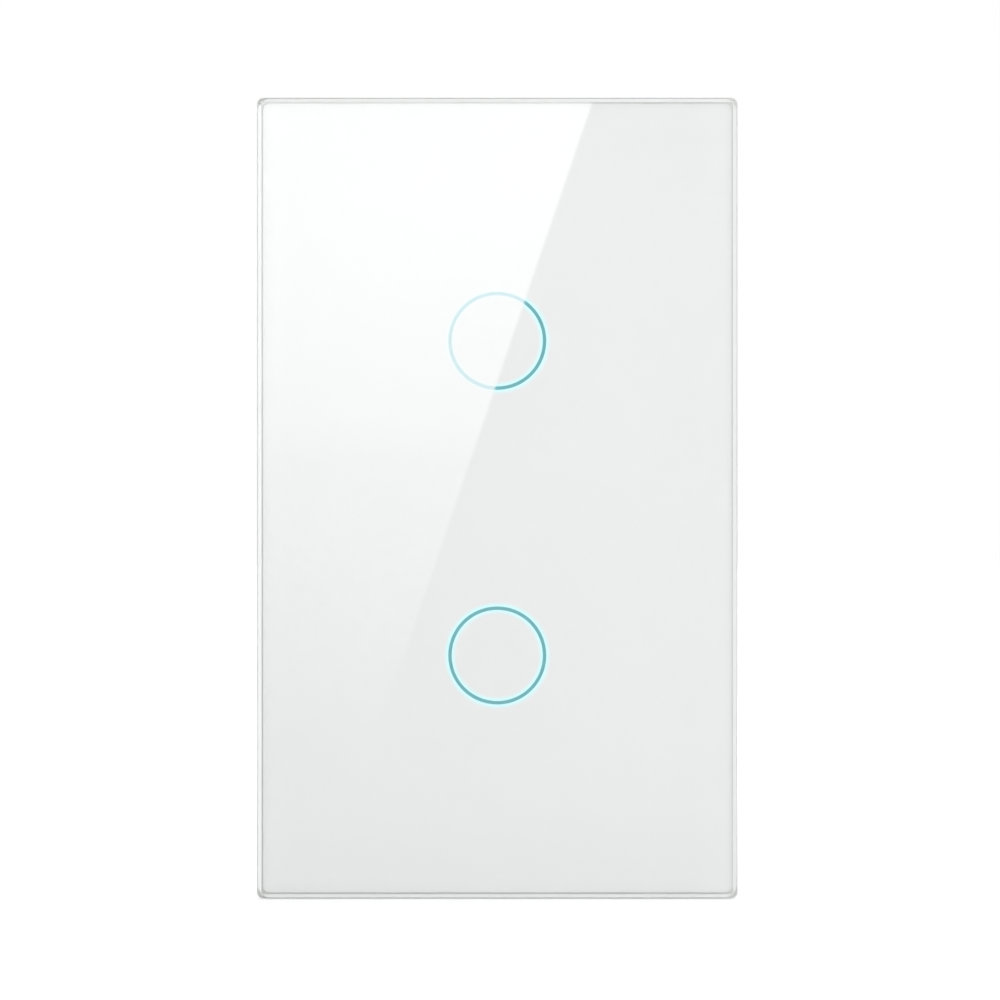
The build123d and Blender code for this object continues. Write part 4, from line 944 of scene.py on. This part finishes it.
def modelCrossScrew(settings):
    # Pan head with a rounded crown and a tapered cross recess, above a threaded shank
    head, height, shank, length = (settings[key] for key in ("head", "height", "shank", "length"))
    screw = stackRings("screwHead", sized(screwShape["crownShares"], head, height))
    drive, half, deep = settings["drive"], screwShape["armWidth"] / 2, screwShape["recessShare"] * height
    for turn in (0, 90):
        arm = addBlock("arm", (-drive, -half, height - deep), (drive, half, height + deep))
        for vertex in arm.data.vertices:
            if vertex.co.z < height * mm:
                vertex.co.x *= screwShape["taperShare"]
                vertex.co.y *= screwShape["taperShare"]
        arm.data.transform(turnZ(turn))
        cutAway(screw, arm)
    core = sized(screwShape["shankShares"], shank, length)
    rod = stackRings("screwShank", core + [(core[-1][0], sunk)], 24)
    thread = modelThread(shank, length * 0.8, screwShape["pitch"], -length * 0.86)
    return joinPieces([screw, rod, thread], "crossScrew")


def modelThread(radius, length, pitch, start):
    # A sharp rib wound round the shank by a screw modifier
    clearSelection()
    bpy.ops.mesh.primitive_circle_add(
        vertices=3, radius=0.3 * pitch * mm, location=((radius - 0.17 * pitch) * mm, 0, start * mm),
        rotation=(math.radians(90), math.radians(90), 0),
    )
    rib = bpy.context.object
    settle(rib)
    applyModifier(
        rib, "SCREW", axis="Z", angle=2 * math.pi, steps=20, render_steps=20, screw_offset=pitch * mm,
        iterations=max(1, int(length / pitch)), use_merge_vertices=True, use_normal_calculate=True,
    )
    return rib


def buildScrewSet(name, settings):
    model = modelCrossScrew(settings)
    copies = []
    for n, (x, z) in enumerate(fourCorners(*settings["places"])):
        twist = turnZ(screwShape["firstTwist"] + screwShape["twist"] * n)
        copies.append(copyTo(model, name, facing(settings["way"], x, settings["seat"], z) @ twist))
    bpy.data.objects.remove(model)
    dress(copies, name, "base", settings["slot"], [settings["node"]])


clampScrew = {
    "head": 2.4, "headHeight": 2.0, "shank": 1.5, "headUnder": 19.5, "tip": 14.1, "height": -28.0,
    "places": (-10.95, -3.65, 3.65, 10.95), "slotWidth": 0.8, "slotDepth": 1.1, "pitch": 0.5,
}


def buildClampScrews():
    sizes = clampScrew
    radius, high, shank = sizes["head"], sizes["headHeight"], sizes["shank"]
    head = stackRings("clampHead", [
        (radius * 0.93, 0.0), (radius, 0.15), (radius, high - 0.3), (radius * 0.94, high - 0.08),
        (radius * 0.86, high),
    ])
    half = sizes["slotWidth"] / 2
    cutAway(head, addBlock(
        "driverSlot", (-1.1 * radius, -half, high - sizes["slotDepth"]), (1.1 * radius, half, high + 1)
    ))
    drop = sizes["headUnder"] - sizes["tip"]
    core = shank * 0.84
    rod = stackRings("clampShank", [(shank * 0.7, -drop), (core, 0.3 - drop), (core, sunk)], 24)
    thread = modelThread(shank, drop - 0.9, sizes["pitch"], 0.5 - drop)
    model = joinPieces([head, rod, thread], "clampScrewModel")
    for n, x in enumerate(sizes["places"], start=1):
        screw = copyTo(model, f"clampScrew{n}", facing(1, x, sizes["headUnder"], sizes["height"]))
        dress([screw], screw.name, f"screw_{n}", "zinc_plate", [f"terminal_screw_{n}"])
    bpy.data.objects.remove(model)


rivetSet = {
    "places": (20.0, 50.5), "headSeat": -2.1, "tailSeat": -0.8, "head": 1.5, "rise": 0.45, "shank": 0.9,
    "domeShares": ((1, 0), (0.98, 0.3), (0.86, 0.62), (0.62, 0.86), (0.3, 1)),
    # shares of the head's radius, and heights in mm
    "tailShares": ((0.8, 0), (0.95, 0.15), (0.9, 0.4), (0.6, 0.5), (0.42, 0.5), (0.2, 0.3)),
}


def buildRivets():
    sizes = rivetSet
    head, tail, radius = sizes["headSeat"], sizes["tailSeat"], sizes["shank"]
    models = (
        (stackRings("rivetHead", sized(sizes["domeShares"], sizes["head"], sizes["rise"]), 32), -1, head),
        (stackRings("rivetTail", sized(sizes["tailShares"], sizes["head"]), 32), 1, tail),
        (stackRings("rivetShank", [(radius, 0), (radius, tail - head)], 24), 1, head),
    )
    copies = [
        copyTo(model, "rivet", facing(way, x, depth, z))
        for x, z in fourCorners(*sizes["places"]) for model, way, depth in models
    ]
    for model, way, depth in models:
        bpy.data.objects.remove(model)
    dress(copies, "clipRivets", "base", "zinc_plate", ["clip_rivets"])


touchSpring = {
    "wire": 0.45, "foot": 3.4, "top": 2.4, "turns": 2.5, "stepsInTurn": 24, "boardFace": -5.0,
    "height": 2.78, "centre": 23.6, "legDrop": 1.1,
}


def buildTouchSpring(name, node, z):
    # Round wire: a bent-down leg, then the conical turns
    sizes = touchSpring
    wire, foot = sizes["wire"], sizes["foot"]
    points = [(foot + 0.02, -0.25, -sizes["legDrop"]), (foot + 0.02, -0.22, -0.2), (foot, -0.1, wire / 2)]
    count = int(sizes["turns"] * sizes["stepsInTurn"])
    for n in range(count + 1):
        share = n / count
        angle = 2 * math.pi * sizes["turns"] * share
        radius = foot + (sizes["top"] - foot) * share
        rise = wire / 2 + (sizes["height"] - wire) * share
        points.append((radius * math.cos(angle), radius * math.sin(angle), rise))
    line = bpy.data.curves.new(name, "CURVE")
    line.dimensions = "3D"
    line.bevel_depth = wire / 2 * mm
    line.bevel_resolution = 3
    line.use_fill_caps = True
    spline = line.splines.new("NURBS")
    spline.points.add(len(points) - 1)
    for point, place in zip(spline.points, points):
        point.co = (*(v * mm for v in place), 1)
    spline.order_u = 3
    spline.use_endpoint_u = True
    spring = bpy.data.objects.new(name, line)
    scene.collection.objects.link(spring)
    pick(spring)
    bpy.ops.object.convert(target="MESH")
    spring.data.transform(facing(-1, 0, sizes["boardFace"], z))
    dress([spring], name, "base", "spring_steel", [node], 60)


boardParts = {
    "face": -5,
    # width, length, height, metal end, and each one's place: X, Z, turned a quarter or not
    "resistors": (0.8, 1.6, 0.45, 0.3, [
        (-24, 12, 0), (-21.5, 12, 0), (-19, 12, 0), (-24, 8, 0), (-21.5, 8, 0), (-19, 8, 0),
        (-16, 3, 1), (-16, 0.6, 1), (-16, -1.8, 1), (19, 11.5, 0), (21.5, 11.5, 0), (24, 11.5, 0),
        (15.5, 3.5, 1), (15.5, 1.1, 1), (23.5, -9, 1), (23.5, -11.4, 1), (-9.5, -9, 0), (-7.3, -9, 0),
        (8, 5.5, 1), (-8, 5.5, 1), (11.5, -26, 1), (-11.5, -26, 1),
    ]),
    "capacitors": (1.25, 2, 0.7, 0.42, [
        (-24, 3, 0), (-21.2, 3, 0), (-24, -3, 1), (-20.6, -3, 1), (19, 5.5, 0), (22, 5.5, 0),
        (24, -1, 1), (5, -9, 0), (8, -9, 0), (0, 5, 1), (-24, -12.5, 1),
    ]),
    "transistors": (1.4, 2.9, 0.9, [(-20, -8.5), (20.5, -5), (0, -4.5), (12.5, -13)]),
    "testPads": (0.55, [(-4.5, 1), (-2.7, 1), (-0.9, 1), (0.9, 1), (2.7, 1), (4.5, 1), (26.5, 20),
                        (26.5, 17.6), (-26.5, 20), (-26.5, 17.6)]),
    # foot, shank and pad of a transistor's leg: way out from the case, width, length, heights, softness
    "legs": ((0.3, 0.42, 0.62, 0.03, 0.16, 0.03), (0.06, 0.42, 0.14, 0.05, 0.5, 0.03),
             (0.4, 0.75, 0.8, -0.01, 0.05, 0)),
    # outlines of the tinned and soldered discs: radii and heights, the first in shares of its radius
    "padShares": ((1, -0.01), (1, 0.04), (0.3, 0.05)),
    "springPad": ((4.3, -0.01), (4.3, 0.03), (2.6, 0.035), (2.6, -0.01)),
    "springJoint": ((0.95, -0.01), (0.9, 0.05), (0.5, 0.22), (0.3, 0.4)),
    "pinJoint": ((0.85, -0.01), (0.84, 0.05), (0.62, 0.16), (0.45, 0.36), (0.4, 0.5)),
    "pins": (5, 2, 2.54, 11.5),
    "pad": (-0.01, 0.05),        # from and to which height a pad goes
    "print": (-0.01, 0.025),
    "printLine": 0.15,
}


def addPart(name, x, z, across, up, low, high, soft=0.05):
    # A soft-edged block on the board's front, from one height above it to another
    face = boardParts["face"]
    half, tall = across / 2, up / 2
    part = addBlock(name, (x - half, face - high, z - tall), (x + half, face - low, z + tall))
    if soft:
        applyModifier(part, "BEVEL", width=soft * mm, segments=1, limit_method="ANGLE")
    return part


def addDisc(x, z, profile, sides=24):
    return placeRings("disc", profile, sides, -1, x, boardParts["face"], z)


def addPrintedFrame(x, z, across, up):
    face, line, (low, high) = (boardParts[key] for key in ("face", "printLine", "print"))
    half, tall = (across + line) / 2, (up + line) / 2
    return [
        addBlock("printLine", (x0, face - high, z0), (x1, face - low, z1))
        for x0, z0, x1, z1 in frameBars(x - half, z - tall, x + half, z + tall, line)
    ]


def addChips(kind):
    # Small two-ended parts: their bodies, and the metal ends with the pads under them
    width, length, height, end, places = boardParts[kind]
    bodies, tins = [], []
    for x, z, turned in places:
        size = (length, width) if turned else (width, length)
        bodies.append(addPart(kind, x, z, size[0] * 0.98, size[1] * 0.98, 0.04, height - 0.02))
        for side in (-1, 1):
            cap = side * (length - end) / 2
            pad = side * (length / 2 + 0.05)
            for off, long, low, high in ((cap, end, 0.03, height), (pad, end + 0.5, *boardParts["pad"])):
                where = (x + off, z) if turned else (x, z + off)
                spread = (long, width) if turned else (width, long)
                tins.append(addPart("end", *where, *spread, low, high, 0.03))
    return bodies, tins


def addTransistors():
    width, length, height, places = boardParts["transistors"]
    bodies, tins, lines = [], [], []
    for x, z in places:
        bodies.append(addPart("transistor", x, z, length, width, 0.1, height, 0.12))
        for off, side in ((-0.95, -1), (0.95, -1), (0, 1)):
            for out, *shape in boardParts["legs"]:
                tins.append(addPart("leg", x + off, z + side * (width / 2 + out), *shape))
        lines += addPrintedFrame(x, z, length + 0.7, width + 2.4)
    return bodies, tins, lines


def buildBoardParts():
    bodies, tins = addChips("resistors")
    ceramics, ends = addChips("capacitors")
    cases, legs, lines = addTransistors()
    tins += ends + legs
    radius, places = boardParts["testPads"]
    tins += [addDisc(x, z, sized(boardParts["padShares"], radius)) for x, z in places]
    for z in (touchSpring["centre"], -touchSpring["centre"]):
        tins.append(addDisc(0, z, boardParts["springPad"], 48))
        tins.append(addDisc(touchSpring["foot"], z, boardParts["springJoint"]))
    columns, rows, pitch, height = boardParts["pins"]
    for column in range(columns):
        for row in range(rows):
            x = (column - (columns - 1) / 2) * pitch
            z = height + (row - (rows - 1) / 2) * pitch
            tins.append(addDisc(x, z, boardParts["pinJoint"]))
    lines += addPrintedFrame(0, height, columns * pitch + 0.6, rows * pitch + 0.6)
    dress(bodies + cases, "boardChips", "base", "chip_black")
    dress(ceramics, "boardCeramics", "base", "fuse_brown")
    dress(tins, "boardSolder", "base", "zinc_plate")
    dress(lines, "boardPrint", "base", "white_moulding")


mouldMarks = {
    "ejectorRadius": 2,
    "ejectorPlaces": [(22, 12), (22, 35), (-22, 12), (-22, 35), (0, 42)],
    "frameDepth": -6.2,
    "dialPlaces": [(-9, -6), (9, -6)],
    "dialRadius": 3,
    "panelDepth": 23.5,
    "gateRadius": 0.9,
    "gateHeight": 4,
    # shares of the radius, and heights
    "gateShares": ((1, -sunk), (0.96, 0.12), (0.8, 0.2), (0.35, 0.16)),
}


def ringProfile(radius, width, rise, floor=0.01):
    inner = radius - width
    return [(radius, -sunk), (radius, rise), (inner, rise), (inner - 0.03, floor), (radius * 0.2, floor)]


def buildMouldMarks():
    # Rings left by ejector pins inside the panel frame; dials and a gate nub on the housing
    sizes = mouldMarks
    ring = ringProfile(sizes["ejectorRadius"], 0.16, 0.05)
    rings = [
        placeRings("mark", ring, 48, 1, x, sizes["frameDepth"], side * z)
        for x, z in sizes["ejectorPlaces"] for side in (1, -1)
    ]
    dress(rings, "ejectorMarks", "front_panel", "white_moulding")
    marks = []
    radius = sizes["dialRadius"]
    for n, (x, z) in enumerate(sizes["dialPlaces"]):
        pieces = [stackRings("mark", ringProfile(radius, 0.2, 0.1), 48)]
        pieces.append(stackRings("mark", ringProfile(radius / 2, 0.15, 0.1, 0.03), 48))
        for tick in range(12):
            long = 0.5 if tick % 3 else 0.9
            pieces.append(addSpoke("tick", 0.07, radius - 0.3 - long, radius - 0.25, 0.1, 30 * tick))
        pieces.append(addSpoke("pointer", 0.1, -0.7, 1.0, 0.14, 50 + 75 * n))
        dial = joinPieces(pieces, "dial")
        dial.data.transform(facing(1, x, sizes["panelDepth"], z))
        marks.append(dial)
    gate = sized(sizes["gateShares"], sizes["gateRadius"])
    marks.append(placeRings("gate", gate, 24, 1, 0, sizes["panelDepth"], sizes["gateHeight"]))
    dress(marks, "housingMarks", "base", "white_moulding")


relayMarks = {
    "nibRadius": 0.9, "nibInset": 2.6, "nibShares": ((1, -sunk), (1, 0.1), (0.85, 0.14), (0.3, 0.14)),
    "ridge": 0.35, "ridgeInset": 1.2, "ridgeRise": 0.07,
}


def buildRelayMarks(name, node):
    # A sealed vent nib and a low frame on the closed end of a relay cover
    sizes = relayMarks
    low, high = boxInMm(node)
    nib = sized(sizes["nibShares"], sizes["nibRadius"])
    nibX, nibZ = high.x - sizes["nibInset"], high.z - sizes["nibInset"]
    bars = [placeRings("nib", nib, 24, 1, nibX, high.y, nibZ)]
    inset = sizes["ridgeInset"]
    edges = (low.x + inset, low.z + inset, high.x - inset, high.z - inset)
    for x0, z0, x1, z1 in frameBars(*edges, sizes["ridge"]):
        bars.append(addBlock("ridge", (x0, high.y - sunk, z0), (x1, high.y + sizes["ridgeRise"], z1)))
    dress(bars, name, "base", "relay_blue")


blockRibs = {
    "width": 0.7, "proud": 0.35, "root": 0.1, "margin": 1.6, "pitch": 7.3, "count": 3, "soft": 0.12,
}


def buildBlockRibs():
    # Ribs between the cells, on the terminal block's upper wall
    sizes = blockRibs
    low, high = boxInMm("terminal_block")
    half, front, back = sizes["width"] / 2, low.y + sizes["margin"], high.y - sizes["margin"]
    ribs = []
    for n in range(sizes["count"]):
        x = (n - (sizes["count"] - 1) / 2) * sizes["pitch"]
        rib = addBlock(
            "rib", (x - half, front, high.z - sizes["root"]), (x + half, back, high.z + sizes["proud"])
        )
        applyModifier(rib, "BEVEL", width=sizes["soft"] * mm, segments=2, limit_method="ANGLE")
        ribs.append(rib)
    dress(ribs, "blockRibs", "base", "grey_moulding")


canTops = {
    "bigRadius": 4.6, "smallRadius": 4.0, "drop": 3.5, "height": 7.6, "rim": 0.45, "score": 0.3,
    "scoreShare": 0.62, "scoreHeight": 0.3,
}


def buildCanTops():
    # Bare metal discs with a scored star, in the rolled ends of the two cans
    low, high = boxInMm("smoothing_capacitors")
    big, small = canTops["bigRadius"], canTops["smallRadius"]
    tops = []
    for radius, x, depth in (
        (big, low.x + big, high.y), (small, high.x - small, high.y - canTops["drop"]),
    ):
        rim, reach, half = radius - canTops["rim"], radius * canTops["scoreShare"], canTops["score"] / 2
        profile = [(rim, -0.05), (rim, 0.0), (rim - 0.25, 0.09), (rim - 0.55, 0.03), (radius * 0.2, 0.03)]
        top = stackRings("canTop", profile, 48)
        for turn in (0, 60, 120):
            score = addBlock("score", (-reach, -half, -sunk), (reach, half, canTops["scoreHeight"]))
            score.data.transform(turnZ(turn))
            cutAway(top, score)
        top.data.transform(facing(1, x, depth, canTops["height"]))
        tops.append(top)
    dress(tops, "canTops", "base", "zinc_plate")


enamelledCopper = makeMetal(
    "enamelledCopper", (0.72, 0.30, 0.12), (0.60, 0.22, 0.08), 0.2, (1, 0.2, 1), 2600, 0.4, 0.1
)
relayCoil = {"radius": 3.72, "margin": 0.78, "pitch": 0.3}
windings = {
    "chokeWinding": {"node": "choke", "radius": 3.05, "margin": 1.3, "pitch": 0.44},
    "coilWindingLeft": {"node": "relay_coil_left", **relayCoil},
    "coilWindingRight": {"node": "relay_coil_right", **relayCoil},
}
pointsInWire = 4        # how many points draw the round back of each turn


def buildWinding(name, settings):
    # Close turns of round wire between two flanges, as one turned shape
    low, high = boxInMm(settings["node"])
    start, stop = settings["margin"], high.y - low.y - settings["margin"]
    turns = int((stop - start) / settings["pitch"])
    step = (stop - start) / turns
    root = settings["radius"] - step
    profile = [(root, start)]
    for turn in range(turns):
        for point in range(pointsInWire):
            angle = math.pi * (point + 0.5) / pointsInWire
            up = start + (turn + 0.5 - math.cos(angle) / 2) * step
            profile.append((settings["radius"] + step / 2 * math.sin(angle), up))
    profile.append((root, stop))
    coil = placeRings(name, profile, 40, 1, (low.x + high.x) / 2, low.y, (low.z + high.z) / 2)
    dress([coil], name, "base", "copper_wire", angle=60, look=enamelledCopper)


def nodeIslands(node):
    # The box of each separate solid of a node, in mm
    mesh = frame["nodes"][node].data
    link = list(range(len(mesh.vertices)))

    def root(n):
        while link[n] != n:
            link[n] = link[link[n]]
            n = link[n]
        return n

    for edge in mesh.edges:
        a, b = (root(n) for n in edge.vertices)
        link[a] = b
    groups = {}
    for vertex in mesh.vertices:
        groups.setdefault(root(vertex.index), []).append(vertex.co)
    return [
        [[end(p[axis] for p in points) / mm for axis in range(3)] for end in (min, max)]
        for points in groups.values()
    ]


leadJoint = [(0.95, -0.01), (0.93, 0.06), (0.68, 0.22), (0.5, 0.5), (0.4, 0.75)]
leadReach = 0.2         # a lead that reaches farther than this through the board is soldered


def buildSolderJoints():
    # A cone of solder round each lead on the front of the power board
    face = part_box("power_board")[0].y / mm
    places = {
        (round((low[0] + high[0]) / 2, 2), round((low[2] + high[2]) / 2, 2))
        for low, high in nodeIslands("component_leads") if low[1] < face - leadReach
    }
    joints = [placeRings("joint", leadJoint, 20, -1, x, face, z) for x, z in sorted(places)]
    print("stage: solder on", len(joints), "leads")
    dress(joints, "leadSolder", "base", "zinc_plate")


for name, settings in screwSets.items():
    buildScrewSet(name, settings)
buildClampScrews()
buildRivets()
buildTouchSpring("touchSpringUpper", "touch_spring_upper", touchSpring["centre"])
buildTouchSpring("touchSpringLower", "touch_spring_lower", -touchSpring["centre"])
print("stage: screws, rivets and springs fitted")
buildBoardParts()
buildSolderJoints()
print("stage: board parts fitted")
buildMouldMarks()
buildRelayMarks("relayMarksLeft", "relay_cover_left")
buildRelayMarks("relayMarksRight", "relay_cover_right")
buildBlockRibs()
buildCanTops()
for name, settings in windings.items():
    buildWinding(name, settings)
print("stage: marks, can tops and windings fitted")
